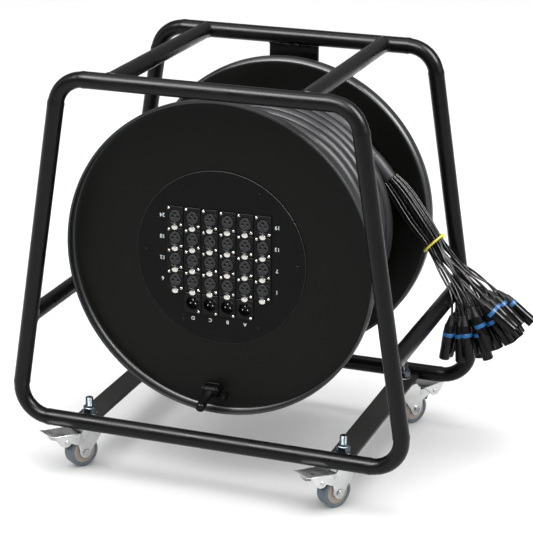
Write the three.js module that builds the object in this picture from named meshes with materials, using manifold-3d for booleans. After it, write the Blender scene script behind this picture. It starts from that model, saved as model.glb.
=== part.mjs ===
// Multicore cable drum on a trolley: a drum with a panel of three-pin connectors turns on a stub axle at
// the rear of a tubular steel frame, which stands on four braked swivel casters. Millimetres, +Z up, origin
// on the floor under the middle of the frame. The axle runs along Y, the panel faces -Y, and left is -X.
import * as THREE from "three";
import { mergeVertices } from "three/addons/utils/BufferGeometryUtils.js";
import Module from "manifold-3d";

const wasm = await Module();
wasm.setup();

// Clearances
const seatGap = 0.3; // between pieces that touch, bolt or weld together
const runningGap = 0.4; // round what turns
const overrun = 2; // how far a cutting shape runs past what it cuts

// Frame: two bent tube loops, joined by tube bars above and beside, and by flat strips below
const tubeRadius = 12.5;
const loopSpacing = 381; // between the centre planes of the loops
const rimGap = 13; // between the rails and the drum's rim
const loopTopHalfWidth = 224; // to the sharp corner of the centreline
const loopBottomHalfWidth = 308;
const bendRadius = 45;
const topBarOffset = 146; // of each top bar from the middle
const sideBarRise = 160; // side bars over the bottom rails
const stripWidth = 38;
const stripThickness = 5;
const stripInset = 104.5; // strip's middle inside the loops' lower corners
const stripDrop = 1; // strip's top under the rails' centreline

// Casters, each seen from its own swivel axis
const casterHeight = 74; // floor to the strip's underside
const casterInset = 33.5; // swivel axis from the loop's centre plane
const casterTurn = 237; // degrees, the way the front wheels trail
const wheelRadius = 25;
const wheelWidth = 22;
const tyreShoulder = 3;
const casterTrail = 17;
const casterAxleRadius = 4;
const casterAxleHead = 6.5;
const casterAxleHeadDepth = 3;
const forkSheet = 2.5;
const forkSideGap = 1.2; // wheel to fork
const forkLobe = 9; // round the wheel's axle
const forkWebShares = [1.4, 1.6]; // of the lobe, along and up from the wheel's axle
const crownHalf = 17;
const forkNeckShare = 0.7; // of the crown
const forkShoulderShare = 1.5;
const crownThickness = 3;
const raceRadius = 19;
const raceThickness = 3.5;
const rivetRadius = 10;
const rivetThickness = 3.5;
const stemRadius = 6;
const stemRise = 28; // stem's top over the strip
const washerRadius = 11.5;
const washerThickness = 2;
const nutAcrossFlats = 19;
const nutHeight = 10.5;
const pedalPivotReach = 52; // swivel axis to pedal pivot
const pedalPivotDrop = 24; // under the strip
const pedalPinRadius = 2.5;
const pedalLobe = 7;
const forkChinShare = 0.6; // of the pedal's lobe
const pedalLobeStart = -132; // degrees
const pedalSheet = 2;
const pedalSideGap = 0.7;
const pedalFrontDrop = 14; // pedal's tread under the strip
const pedalTipDrop = 8.5;
const pedalFrontReach = 30;
const pedalTipReach = 84;
const pedalRivetHead = 1.5;
const shoeWidth = 14;
const shoeGap = 3; // brake shoe to tyre
const shoeLow = 17; // degrees over level, seen from the wheel's axle
const shoeHigh = 32;

// Axle support
const plateWidth = 80;
const plateThickness = 6;
const axleSides = 16; // of every piece on the axle
const axleRadius = 12.5;
const axleCollarRadius = 22;
const axleCollarLength = 14;
const axleThreadRadius = 8;
const axleRearThread = 10;
const axleNutHeight = 12;
const axleNutFlats = 30;
const axleWasherRadius = 19;
const axleWasherThickness = 2.5;

// Drum
const drumWidth = 272; // between the inner faces of the flanges
const drumSetBack = 11; // drum's middle behind the frame's
const flangeRadius = 240;
const flangeSheet = 2;
const flangeDepth = 20; // inner face to the lip's edge
const flangeBend = 9;
const lipEdge = 4;
const barrelMargin = 13.2; // barrel's outside beyond the latch tabs' farthest corner
const barrelSheet = 2.5;
const hubRadius = 31;
const hubLength = 152;
const bearingRadius = 26;
const bearingWidth = 15;
const bulkheadThickness = 3;
const bulkheadInset = 18; // bulkhead behind the hub's front end

// Connector panel
const panelLap = 20.5; // panel's rim beyond the barrel
const panelThickness = 2;
const panelScrewInset = 13.5; // from the panel's rim
const panelScrewRadius = 3;
const panelScrewHead = 1.4;
const panelScrewCount = 6;
const socketColumns = 6;
const socketRows = 4;
const socketPitchX = 27.5;
const socketPitchZ = 32.9;
const socketGridX = -2.4; // grid's middle from the axle
const socketGridZ = 7.8;
const socketPlateWidth = 26;
const socketPlateHeight = 31;
const socketPlateThickness = 2;
const socketRadius = 11;
const insertRadius = 9.3;
const socketRingDepth = 3;
const socketSides = 8;
const firstReturn = 1; // columns that also have a pin connector under them
const lastReturn = 4;
const pinSocketRadius = 9.6;
const pinSocketDepth = 9;
const pinSocketWall = 2;
const pinRadius = 1.2;
const pinCircle = 5.2;
const pinLength = 7;
const tabHalfWidth = 5.2;
const tabHalfHeight = 4.1;
const tabProud = 1.6;
const tabTravel = 1.5;
const tabBarThickness = 2;

// Crank: a folding grip on the front flange
const crankX = -12;
const crankRimGap = 34; // crank's middle inside the flange's rim
const bracketHalfWidth = 12;
const bracketHalfHeight = 13;
const bracketBase = 3;
const earThickness = 3;
const earRise = 18;
const crankPinRise = 12;
const crankPinRadius = 3;
const crankPinHead = 4.5;
const crankPinHeadDepth = 1.5;
const crankEyeRadius = 6.5;
const spindleRadius = 3;
const gripRadius = 7.5;
const gripStart = 8; // from the pin, along the spindle
const gripEnd = 50;
const gripWall = 5; // closed end
const crankDroop = 15; // degrees under level at rest
const lugRadius = 4.5;
const lugX = 18;
const lugDrop = 12;
const lugRise = 12;

// Winding
const cableDiameter = 23;
const cableGap = 1; // between turns
const coreDepth = 54; // of the inner layers on the barrel
const windingTurns = 9;
const windingInset = 3; // first turn from the front flange
const turnSteps = 24;
const windingEndAngle = 225; // degrees from +X, where the outer layer ends
const crossingShare = 0.25; // of a turn, in which the cable moves on to its next place

// The cable's last stretch, its breakout and the tails
const leadEndAngle = 42;
const leadSteps = 12;
const bootLength = 45;
const bootWaist = 13;
const bundleRadius = 5.7; // of one of the four strands of seven tails
const bundlePitch = 12.2;
const tailDiameter = 3.6;
const tailPitch = 3.9;
const tieRadius = 18.5;
const tieThickness = 3.6;
const tieDrop = 3;
const plugLength = 73;
const plugRadius = 9.1;
const plugRingStart = 28;
const plugBootRadius = 2.8;
const fanColumns = 7;
const fanRows = 4;
const fanX = 305; // where the plugs' axes meet, from the drum's axle
const fanZ = -60;
const fanFirst = -6; // degrees from straight down
const fanStep = 9.2;
const fanDepth = 120;
const fanPitch = 12.6;
const fanReach = 52;
const fanLower = 10;
const fanGrow = 2.5;

// Where everything lies
const railHeight = casterHeight + stripThickness + stripDrop;
const loopHeight = 2 * (flangeRadius + rimGap + tubeRadius); // between the rails' centrelines
const axisHeight = railHeight + loopHeight / 2;
const frontPlane = -loopSpacing / 2;
const rearPlane = loopSpacing / 2;
const stripOffset = loopBottomHalfWidth - stripInset;
const casterOffset = rearPlane - casterInset;
const frontFace = drumSetBack - drumWidth / 2; // inner face of the front flange
const rearFace = drumSetBack + drumWidth / 2;
const plateFace = rearPlane - plateThickness / 2;
const tabDrop = socketPitchZ / 2; // latch tab under its socket
const tabCornerX = Math.abs(columnX(0)) + tabHalfWidth + seatGap;
const tabCornerZ = Math.abs(rowZ(socketRows - 1) - tabDrop) + tabHalfHeight + seatGap;
const barrelRadius = Math.hypot(tabCornerX, tabCornerZ) + barrelMargin;
const panelRadius = barrelRadius + panelLap;
const coreRadius = barrelRadius + coreDepth;
const cableRadius = cableDiameter / 2;
const turnPitch = cableDiameter + cableGap;
const windingRadius = coreRadius + runningGap + cableRadius;
const windingStart = frontFace + windingInset + cableRadius;
const windingEnd = windingStart + turnPitch * windingTurns;
const leadY = windingEnd + turnPitch + cableGap;
const stepAngle = 360 / turnSteps;
// The core turns under the cable's last stretch, whose straight steps clear its corners
const leadTurn = windingEndAngle - leadEndAngle;
const leadRadius = windingRadius / cosine(leadTurn / leadSteps / 2);

const steel = { color: 0x141414, roughness: 0.42, metalness: 0.35 };
const sheetBlack = { color: 0x191917, roughness: 0.5, metalness: 0.3 };
const zinc = { color: 0xb9bdbc, roughness: 0.35, metalness: 0.85 };
const bareSteel = { color: 0x8d8f92, roughness: 0.3, metalness: 0.9 };
const blackPlastic = { color: 0x0d0d0d, roughness: 0.4, metalness: 0 };
const cableJacket = { color: 0x2c2e31, roughness: 0.55, metalness: 0 };
const tyreGrey = { color: 0x5f6a70, roughness: 0.7, metalness: 0 };
const tieYellow = { color: 0xe3d02c, roughness: 0.6, metalness: 0 };

function cosine(degrees) {
  return Math.cos(THREE.MathUtils.degToRad(degrees));
}

function sine(degrees) {
  return Math.sin(THREE.MathUtils.degToRad(degrees));
}

// A closed geometry as a solid whose faces point out.
function solid(geometry) {
  const bare = geometry.index ? geometry.toNonIndexed() : geometry.clone();
  bare.deleteAttribute("normal");
  bare.deleteAttribute("uv");
  const merged = mergeVertices(bare, tubeRadius * 1e-5);
  const corners = merged.attributes.position;
  const triangles = [];
  let volume = 0;
  for (let i = 0; i < merged.index.count; i += 3) {
    const [a, b, c] = [0, 1, 2].map((k) => merged.index.getX(i + k));
    if (a === b || b === c || c === a) continue;
    const [p, q, r] = [a, b, c].map((k) => new THREE.Vector3().fromBufferAttribute(corners, k));
    volume += p.dot(q.cross(r));
    triangles.push([a, b, c]);
  }
  if (volume < 0) triangles.forEach((t) => t.reverse());
  const mesh = new wasm.Mesh({
    numProp: 3,
    vertProperties: corners.array,
    triVerts: new Uint32Array(triangles.flat()),
  });
  return new wasm.Manifold(mesh);
}

function join(...geometries) {
  return geometryOf(geometries.map(solid).reduce((whole, piece) => whole.add(piece)));
}

function cut(geometry, ...tools) {
  return geometryOf(tools.map(solid).reduce((whole, tool) => whole.subtract(tool), solid(geometry)));
}

function geometryOf(shape) {
  const mesh = shape.getMesh();
  const geometry = new THREE.BufferGeometry();
  geometry.setAttribute("position", new THREE.BufferAttribute(mesh.vertProperties, 3));
  geometry.setIndex(new THREE.BufferAttribute(mesh.triVerts, 1));
  return geometry;
}

// A prism along Y, between two places on Y; flats turns a flat, not a corner, to +Z.
function rod(radius, from, to, sides = 12, flats = false) {
  const shape = new THREE.CylinderGeometry(radius, radius, to - from, sides);
  if (flats) shape.rotateY(Math.PI / sides);
  return shape.translate(0, (from + to) / 2, 0);
}

function upright(radius, from, to, sides = 12) {
  return rod(radius, from, to, sides).rotateX(Math.PI / 2);
}

function crosswise(radius, from, to, sides = 12) {
  return rod(radius, from, to, sides).rotateZ(-Math.PI / 2);
}

function block(low, high) {
  const size = low.map((value, axis) => high[axis] - value);
  const middle = low.map((value, axis) => (high[axis] + value) / 2);
  return new THREE.BoxGeometry(...size).translate(...middle);
}

// A body of revolution round Y, from a closed outline of [radius, y] pairs.
function turned(outline, sides) {
  const points = outline.map(([radius, y]) => new THREE.Vector2(radius, y));
  return new THREE.LatheGeometry([...points, points[0].clone()], sides);
}

// A flat outline of [x, z] pairs or a shape, made solid between two places on Y.
function plate(outline, from, to, curveSegments = 3) {
  const shape = Array.isArray(outline)
    ? new THREE.Shape(outline.map(([x, z]) => new THREE.Vector2(x, z)))
    : outline;
  const options = { depth: to - from, bevelEnabled: false, curveSegments };
  return new THREE.ExtrudeGeometry(shape, options).rotateX(Math.PI / 2).translate(0, to, 0);
}

function roundSection(radius, sides) {
  const corners = Array.from({ length: sides }, (_, k) => (360 / sides) * k);
  return corners.map((angle) => [radius * cosine(angle), radius * sine(angle)]);
}

// A tube through points: its section is [across, along Y] pairs, and its ends are flat unless it is a ring.
function tube(points, section, ring = false) {
  const last = points.length - 1;
  const sides = section.length;
  const sideways = new THREE.Vector3(0, 1, 0);
  const corners = [];
  const triangles = [];
  points.forEach((point, i) => {
    const before = ring ? points.at(i - 1) : points[Math.max(i - 1, 0)];
    const after = ring ? points[(i + 1) % points.length] : points[Math.min(i + 1, last)];
    const arriving = point.clone().sub(before).normalize();
    const leaving = after.clone().sub(point).normalize();
    const tangent = arriving.add(leaving).normalize();
    const along = sideways.clone().addScaledVector(tangent, -sideways.dot(tangent)).normalize();
    const across = along.clone().cross(tangent);
    for (const [a, b] of section) {
      corners.push(...point.clone().addScaledVector(across, a).addScaledVector(along, b));
    }
  });
  const spans = ring ? points.length : last;
  for (let i = 0; i < spans; i++) {
    for (let k = 0; k < sides; k++) {
      const next = (k + 1) % sides;
      const here = i * sides;
      const there = ((i + 1) % points.length) * sides;
      triangles.push(here + k, here + next, there + next);
      triangles.push(here + k, there + next, there + k);
    }
  }
  if (!ring) {
    for (let k = 1; k < sides - 1; k++) {
      triangles.push(0, k + 1, k);
      triangles.push(last * sides, last * sides + k, last * sides + k + 1);
    }
  }
  const geometry = new THREE.BufferGeometry();
  geometry.setAttribute("position", new THREE.Float32BufferAttribute(corners, 3));
  geometry.setIndex(triangles);
  return geometry;
}

// Points of the arc that rounds a corner.
function roundedCorner(before, corner, after, radius, steps) {
  const back = before.clone().sub(corner).normalize();
  const ahead = after.clone().sub(corner).normalize();
  const half = back.angleTo(ahead) / 2;
  const centre = back.clone().add(ahead).normalize();
  centre.multiplyScalar(radius / Math.sin(half)).add(corner);
  const start = back.multiplyScalar(radius / Math.tan(half)).add(corner).sub(centre);
  const end = ahead.multiplyScalar(radius / Math.tan(half)).add(corner).sub(centre);
  const sweep = Math.PI - 2 * half;
  return Array.from({ length: steps + 1 }, (_, i) => {
    const turn = (sweep * i) / steps;
    const point = centre.clone().addScaledVector(start, Math.sin(sweep - turn) / Math.sin(sweep));
    return point.addScaledVector(end, Math.sin(turn) / Math.sin(sweep));
  });
}

// A point on a circle round the drum's axis, the angle in degrees from +X towards +Z.
function onCircle(radius, angle, y) {
  return new THREE.Vector3(radius * cosine(angle), y, radius * sine(angle));
}

const part = new THREE.Group();
const axis = new THREE.Group();
axis.position.z = axisHeight;
const drum = new THREE.Group();
axis.add(drum);
part.add(axis);

function piece(parent, name, geometry, finish) {
  const mesh = new THREE.Mesh(join(geometry), new THREE.MeshStandardMaterial(finish));
  mesh.name = name;
  parent.add(mesh);
}

// Frame

function loopTube(y, radius) {
  const bottom = railHeight;
  const top = railHeight + loopHeight;
  const corners = [
    new THREE.Vector3(-loopBottomHalfWidth, y, bottom),
    new THREE.Vector3(loopBottomHalfWidth, y, bottom),
    new THREE.Vector3(loopTopHalfWidth, y, top),
    new THREE.Vector3(-loopTopHalfWidth, y, top),
  ];
  const points = corners.flatMap((corner, i) =>
    roundedCorner(corners.at(i - 1), corner, corners[(i + 1) % 4], bendRadius, 4),
  );
  return tube(points, roundSection(radius, 12), true);
}

// Removes what a bar, strip or plate shares with the loops that it is welded to.
function coped(geometry) {
  return cut(geometry, loopTube(frontPlane, tubeRadius + seatGap), loopTube(rearPlane, tubeRadius + seatGap));
}

function crossBar(x, z) {
  return coped(rod(tubeRadius, frontPlane, rearPlane).translate(x, 0, z));
}

function legOffset(rise) {
  return loopBottomHalfWidth + ((loopTopHalfWidth - loopBottomHalfWidth) * rise) / loopHeight;
}

function casterStrip(x) {
  const low = [x - stripWidth / 2, frontPlane, casterHeight];
  const high = [x + stripWidth / 2, rearPlane, casterHeight + stripThickness];
  const [bottom, top] = [casterHeight - overrun, casterHeight + stripThickness + overrun];
  const stemHole = upright((stemRadius + seatGap) / cosine(180 / 8), bottom, top, 8);
  const holes = [-1, 1].map((end) => stemHole.clone().translate(x, end * casterOffset, 0));
  return cut(coped(block(low, high)), ...holes);
}

function axlePlate() {
  const low = [-plateWidth / 2, plateFace, railHeight];
  const high = [plateWidth / 2, plateFace + plateThickness, railHeight + loopHeight];
  const [front, rear] = [plateFace - overrun, plateFace + plateThickness + overrun];
  const hole = rod(axleRearThread + seatGap, front, rear, axleSides);
  return cut(coped(block(low, high)), hole.translate(0, 0, axisHeight));
}

piece(part, "front_loop", loopTube(frontPlane, tubeRadius), steel);
piece(part, "rear_loop", loopTube(rearPlane, tubeRadius), steel);
for (const [side, name] of [[-1, "left"], [1, "right"]]) {
  piece(part, "top_bar_" + name, crossBar(side * topBarOffset, railHeight + loopHeight), steel);
  piece(part, "side_bar_" + name, crossBar(side * legOffset(sideBarRise), railHeight + sideBarRise), steel);
  piece(part, "caster_strip_" + name, casterStrip(side * stripOffset), steel);
}
piece(part, "axle_plate", axlePlate(), steel);

// Axle, with its nuts, and the hub that turns on it

const hubRear = rearFace + flangeDepth + overrun;
const hubFront = hubRear - hubLength;
const collarFront = plateFace - seatGap - axleCollarLength;
const frontNutEnd = hubFront + overrun;
const plateRear = plateFace + plateThickness + seatGap;

function axleShaft() {
  const shaftFront = hubFront + overrun;
  return turned(
    [
      [0, shaftFront - axleNutHeight - overrun],
      [axleThreadRadius, shaftFront - axleNutHeight - overrun],
      [axleThreadRadius, shaftFront],
      [axleRadius, shaftFront],
      [axleRadius, collarFront],
      [axleCollarRadius, collarFront],
      [axleCollarRadius, plateFace - seatGap],
      [axleRearThread, plateFace - seatGap],
      [axleRearThread, plateRear + axleWasherThickness + axleNutHeight + overrun],
      [0, plateRear + axleWasherThickness + axleNutHeight + overrun],
    ],
    axleSides,
  );
}

// A hexagon nut on its washer, threaded along Y: the washer is on the side that direction points to.
function washerNut(bore, face, direction) {
  const washerEnd = face - direction * axleWasherThickness;
  const nutStart = face - (direction * axleWasherThickness) / 2;
  const nutEnd = washerEnd - direction * axleNutHeight;
  const span = (a, b) => [Math.min(a, b), Math.max(a, b)];
  const washer = rod(axleWasherRadius, ...span(face, washerEnd), axleSides);
  const nut = rod(axleNutFlats / 2 / cosine(30), ...span(nutStart, nutEnd), 6);
  const boreSpan = span(face + direction * overrun, nutEnd - direction * overrun);
  const hole = rod(bore + seatGap, ...boreSpan, axleSides);
  return cut(join(washer, nut), hole);
}

function bearing(y) {
  const inner = axleRadius + runningGap;
  const outer = bearingRadius;
  return turned([[inner, y], [outer, y], [outer, y + bearingWidth], [inner, y + bearingWidth]], axleSides);
}

function hubTube() {
  const inner = bearingRadius + seatGap;
  const outer = hubRadius;
  return turned([[inner, hubFront], [outer, hubFront], [outer, hubRear], [inner, hubRear]], axleSides);
}

function bulkhead() {
  const front = hubFront + bulkheadInset;
  const rear = front + bulkheadThickness;
  const inner = (hubRadius + seatGap) / cosine(stepAngle / 2);
  const outer = barrelRadius - barrelSheet - seatGap;
  return turned([[inner, front], [outer, front], [outer, rear], [inner, rear]], turnSteps);
}

piece(axis, "stub_axle", axleShaft(), bareSteel);
piece(axis, "axle_nut_rear", washerNut(axleRearThread, plateRear, -1), zinc);
piece(axis, "axle_nut_front", washerNut(axleThreadRadius, frontNutEnd - seatGap, 1), zinc);
piece(drum, "bearing_rear", bearing(collarFront - runningGap - bearingWidth), bareSteel);
piece(drum, "bearing_front", bearing(hubFront + overrun + runningGap), bareSteel);
piece(drum, "hub_tube", hubTube(), steel);
piece(drum, "hub_bulkhead", bulkhead(), steel);

// Flanges and barrel

// The flange is a pressed disc whose lip turns away from the cable and thickens to its edge.
function flange(hole, face, direction) {
  const away = (depth) => face + direction * depth;
  const rim = flangeRadius;
  const centre = rim - flangeBend;
  const bend = (radius, angle) => [centre + radius * sine(angle), away(flangeBend - radius * cosine(angle))];
  const inside = flangeBend - flangeSheet;
  return turned(
    [
      [hole, away(0)],
      bend(flangeBend, 0),
      bend(flangeBend, 45),
      bend(flangeBend, 90),
      [rim, away(flangeDepth)],
      [rim - lipEdge, away(flangeDepth)],
      bend(inside, 90),
      bend(inside, 0),
      [hole, away(flangeSheet)],
    ],
    36,
  );
}

function barrel() {
  const front = frontFace + seatGap;
  const rear = rearFace - seatGap;
  const inner = barrelRadius - barrelSheet;
  return turned([[inner, front], [barrelRadius, front], [barrelRadius, rear], [inner, rear]], turnSteps);
}

piece(drum, "front_flange", flange(barrelRadius - barrelSheet, frontFace, -1), sheetBlack);
piece(drum, "rear_flange", flange(hubRadius + seatGap, rearFace, 1), sheetBlack);
piece(drum, "barrel", barrel(), steel);

// Connector panel: 24 sockets in four rows, four pin connectors in a fifth, and a latch tab under each socket

const panelBack = frontFace - flangeSheet - seatGap;
const panelFront = panelBack - panelThickness;
const plateFront = panelFront - socketPlateThickness;

function columnX(column) {
  return socketGridX + (column - (socketColumns - 1) / 2) * socketPitchX;
}

function rowZ(row) {
  return socketGridZ + ((socketRows - 1) / 2 - row) * socketPitchZ;
}

function oval(clearance, from, to) {
  const shape = rod(tabHalfWidth + clearance, from, to, 6, true);
  return shape.scale(1, 1, (tabHalfHeight + clearance) / (tabHalfWidth + clearance));
}

// One column's front plates stand close together, so they are one strip.
function columnStrip(column, rows) {
  const [x, half] = [columnX(column), socketPlateHeight / 2];
  const low = [x - socketPlateWidth / 2, plateFront, rowZ(rows - 1) - half];
  return block(low, [x + socketPlateWidth / 2, panelBack, rowZ(0) + half]);
}

// A slot round the socket's insert, and the hole for its latch tab.
function socketSlots(x, z) {
  const [front, floor] = [plateFront - overrun, plateFront + socketRingDepth];
  const ring = [[insertRadius, front], [socketRadius, front], [socketRadius, floor], [insertRadius, floor]];
  return [
    turned(ring, socketSides).translate(x, 0, z),
    oval(runningGap, front, panelBack + overrun).translate(x, 0, z - tabDrop),
  ];
}

function socketPins(x, z, floor) {
  return [90, 210, 330].map((angle) => {
    const place = onCircle(pinCircle, angle, 0).add(new THREE.Vector3(x, 0, z));
    return rod(pinRadius, floor - pinLength, floor + pinSocketWall / 2, 4).translate(...place);
  });
}

function connectorPanel() {
  const added = [rod(panelRadius, panelFront, panelBack, 36)];
  const removed = [];
  const pins = [];
  for (let k = 0; k < panelScrewCount; k++) {
    const place = onCircle(panelRadius - panelScrewInset, (360 / panelScrewCount) * k, 0);
    added.push(rod(panelScrewRadius, panelFront - panelScrewHead, panelBack, 6).translate(...place));
  }
  for (let column = 0; column < socketColumns; column++) {
    const x = columnX(column);
    const hasReturn = column >= firstReturn && column <= lastReturn;
    added.push(columnStrip(column, hasReturn ? socketRows + 1 : socketRows));
    for (let row = 0; row < socketRows; row++) removed.push(...socketSlots(x, rowZ(row)));
    if (!hasReturn) continue;
    const [z, floor] = [rowZ(socketRows), plateFront + pinSocketDepth];
    const cup = rod(pinSocketRadius + pinSocketWall, panelFront, floor + pinSocketWall, socketSides);
    added.push(cup.translate(x, 0, z));
    removed.push(rod(pinSocketRadius, plateFront - overrun, floor, socketSides).translate(x, 0, z));
    pins.push(...socketPins(x, z, floor));
  }
  return join(cut(join(...added), ...removed), ...pins);
}

// Six latch tabs on a bar behind the panel, which stands for their six springs.
function tabRow(row) {
  const barFront = panelBack + tabTravel + runningGap;
  const barBack = barFront + tabBarThickness;
  const z = rowZ(row) - tabDrop;
  const low = [columnX(0) - tabHalfWidth - seatGap, barFront, z - tabHalfHeight - seatGap];
  const high = [columnX(socketColumns - 1) + tabHalfWidth + seatGap, barBack, z + tabHalfHeight + seatGap];
  const tabs = Array.from({ length: socketColumns }, (_, column) =>
    oval(0, plateFront - tabProud, barFront + tabBarThickness / 2).translate(columnX(column), 0, z),
  );
  return join(block(low, high), ...tabs);
}

piece(drum, "connector_panel", connectorPanel(), blackPlastic);
for (let row = 0; row < socketRows; row++) {
  piece(drum, "latch_tabs_row_" + (row + 1), tabRow(row), zinc);
}

// Crank

const crank = new THREE.Group();
crank.position.set(crankX, frontFace - flangeSheet, crankRimGap - flangeRadius);
drum.add(crank);

function crankBracket() {
  const base = block(
    [-bracketHalfWidth, -seatGap - bracketBase, -bracketHalfHeight],
    [bracketHalfWidth, -seatGap, bracketHalfHeight],
  );
  const arm = block(
    [0, -seatGap - bracketBase, -lugDrop - lugRadius],
    [lugX, -seatGap, -lugDrop + lugRadius],
  );
  const lug = rod(lugRadius, -seatGap - lugRise, -seatGap, 8).translate(lugX, 0, -lugDrop);
  const ears = [-1, 1].map((side) => {
    const inner = side * (bracketHalfWidth - earThickness);
    const outer = side * bracketHalfWidth;
    const low = [Math.min(inner, outer), -earRise, -crankEyeRadius];
    return block(low, [Math.max(inner, outer), -seatGap, crankEyeRadius]);
  });
  const hole = crosswise(crankPinRadius + seatGap, -bracketHalfWidth - overrun, bracketHalfWidth + overrun);
  return cut(join(base, arm, lug, ...ears), hole.translate(0, -crankPinRise, 0));
}

function crankPin() {
  const end = bracketHalfWidth + seatGap;
  const tip = end + crankPinHeadDepth;
  const shaft = crosswise(crankPinRadius, -tip, tip, 8);
  const heads = [-1, 1].map((side) =>
    crosswise(crankPinHead, Math.min(side * end, side * tip), Math.max(side * end, side * tip), 8),
  );
  return join(shaft, ...heads).translate(0, -crankPinRise, 0);
}

function drooping(geometry) {
  return geometry.rotateX(THREE.MathUtils.degToRad(crankDroop)).translate(0, -crankPinRise, 0);
}

function crankArm() {
  const halfWidth = bracketHalfWidth - earThickness - runningGap;
  const eye = crosswise(crankEyeRadius, -halfWidth, halfWidth);
  const spindle = rod(spindleRadius, gripWall + runningGap - gripEnd, 0);
  const hole = crosswise(crankPinRadius + seatGap, -halfWidth - overrun, halfWidth + overrun);
  return drooping(cut(join(eye, spindle), hole));
}

// The grip is a sleeve, closed and rounded at its tip.
function crankGrip() {
  const bore = spindleRadius + runningGap;
  const outline = [
    [bore, -gripStart],
    [gripRadius, -gripStart],
    [gripRadius, gripWall - gripEnd],
    [gripRadius / 2, -gripEnd],
    [0, -gripEnd],
    [0, gripWall - gripEnd],
    [bore, gripWall - gripEnd],
  ];
  return drooping(turned(outline, 12));
}

piece(crank, "crank_bracket", crankBracket(), steel);
piece(crank, "crank_pin", crankPin(), bareSteel);
piece(crank, "crank_arm", crankArm(), steel);
piece(crank, "crank_grip", crankGrip(), blackPlastic);

// Winding: a plain core for the inner layers, and the outer layer as one tube

function cableCore() {
  const inner = (barrelRadius + seatGap) / cosine(stepAngle / 2);
  const [front, rear] = [frontFace + seatGap, rearFace - seatGap];
  return turned([[inner, front], [coreRadius, front], [coreRadius, rear], [inner, rear]], turnSteps);
}

// Turns done on the way to the next place: each turn crosses over first and then lies square to the axle.
function turnsAcross(step) {
  const whole = Math.floor(step / turnSteps);
  const crossed = Math.min((step / turnSteps - whole) / crossingShare, 1);
  return whole + THREE.MathUtils.smoothstep(crossed, 0, 1);
}

// Clockwise as seen from the front, from the front flange back; both ends run straight for one diameter.
function outerLayer() {
  const points = Array.from({ length: turnSteps * windingTurns + 1 }, (_, i) =>
    onCircle(windingRadius, windingEndAngle - stepAngle * i, windingStart + turnPitch * turnsAcross(i)),
  );
  const straight = onCircle(cableDiameter, windingEndAngle - 90, 0);
  points.unshift(points[0].clone().sub(straight));
  points.push(points.at(-1).clone().add(straight));
  const corner = cableRadius / 2;
  const section = [
    [cableRadius, 0],
    [corner, cableRadius],
    [-corner, cableRadius],
    [-cableRadius, 0],
    [-corner, -cableRadius],
    [corner, -cableRadius],
  ];
  console.log("least gap between turns " + leastTurnGap(points).toFixed(2) + " mm");
  return tube(points, section);
}

function leastTurnGap(points) {
  let least = Infinity;
  points.forEach((point, i) => {
    for (let k = i + turnSteps / 2; k < points.length; k++) {
      least = Math.min(least, point.distanceTo(points[k]) - cableDiameter);
    }
  });
  return least;
}

piece(drum, "cable_core", cableCore(), cableJacket);
piece(drum, "cable_outer_layer", outerLayer(), cableJacket);

// The cable's last stretch lies in the space beside the outer layer and ends in the breakout boot

// Turns what was made along Y to a direction in the X-Z plane.
function heading(geometry, direction) {
  return geometry.rotateZ(-Math.PI / 2).rotateY(-Math.atan2(direction.z, direction.x));
}

const leadEnd = onCircle(leadRadius, leadEndAngle, leadY);
const leadHeading = onCircle(1, leadEndAngle - 90, 0);

function leadStretch() {
  const points = Array.from({ length: leadSteps + 1 }, (_, i) =>
    onCircle(leadRadius, windingEndAngle - (leadTurn * i) / leadSteps, leadY),
  );
  points.push(leadEnd.clone().addScaledVector(leadHeading, cableDiameter));
  return tube(points, roundSection(cableRadius, 10));
}

function breakoutBoot() {
  const outline = [
    [0, 0],
    [cableRadius, 0],
    [bootWaist, bootLength / 4],
    [bootWaist, bootLength / 2],
    [cableRadius, bootLength],
    [0, bootLength],
  ];
  const start = leadEnd.clone().addScaledVector(leadHeading, cableDiameter + seatGap);
  return heading(turned(outline, 12), leadHeading).translate(...start);
}

const bootEnd = cableDiameter + bootLength + 3 * seatGap;

// Centreline of the tails from the boot over the side bar to where they part: chosen points, from the axle
const tailRoute = [
  leadEnd.clone().addScaledVector(leadHeading, bootEnd),
  leadEnd.clone().addScaledVector(leadHeading, bootEnd + cableDiameter),
  new THREE.Vector3(224, 127, 14),
  new THREE.Vector3(254, 126, -24),
  new THREE.Vector3(267, 125, -50),
  new THREE.Vector3(275, 125, -68.4),
  new THREE.Vector3(283, 125, -79.5),
  new THREE.Vector3(292, 125, -82.4),
  new THREE.Vector3(300, 125, -87),
];
const tieIndex = 3;
const partingIndex = tailRoute.length - 1;

// A strand of seven tails keeps its corner of the bundle: level and row are -1 or 1.
function strandPoint(index, level, row) {
  const before = tailRoute[Math.max(index - 1, 0)];
  const after = tailRoute[Math.min(index + 1, partingIndex)];
  const tangent = after.clone().sub(before).setY(0).normalize();
  const up = new THREE.Vector3(-tangent.z, 0, tangent.x);
  const point = tailRoute[index].clone().addScaledVector(up, (level * bundlePitch) / 2);
  point.y += (row * bundlePitch) / 2;
  return point;
}

// Where a plug hangs in the fan, and the strand that its tail comes from.
function plugPlace(column, line) {
  const layer = 2 * line + (column % 2);
  const middle = (fanColumns - 1) / 2;
  const upper = column > middle || (column === middle && (line === 1 || line === 2));
  const angle = fanFirst + fanStep * column;
  const down = new THREE.Vector3(sine(angle), 0, -cosine(angle));
  const reach = fanReach + fanGrow * layer + (upper ? 0 : fanLower);
  const top = new THREE.Vector3(fanX, fanDepth + (layer - fanRows + 1 / 2) * fanPitch, fanZ);
  top.addScaledVector(down, reach);
  return { column, layer, down, top, level: upper ? 1 : -1, row: line > 1 ? 1 : -1 };
}

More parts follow.
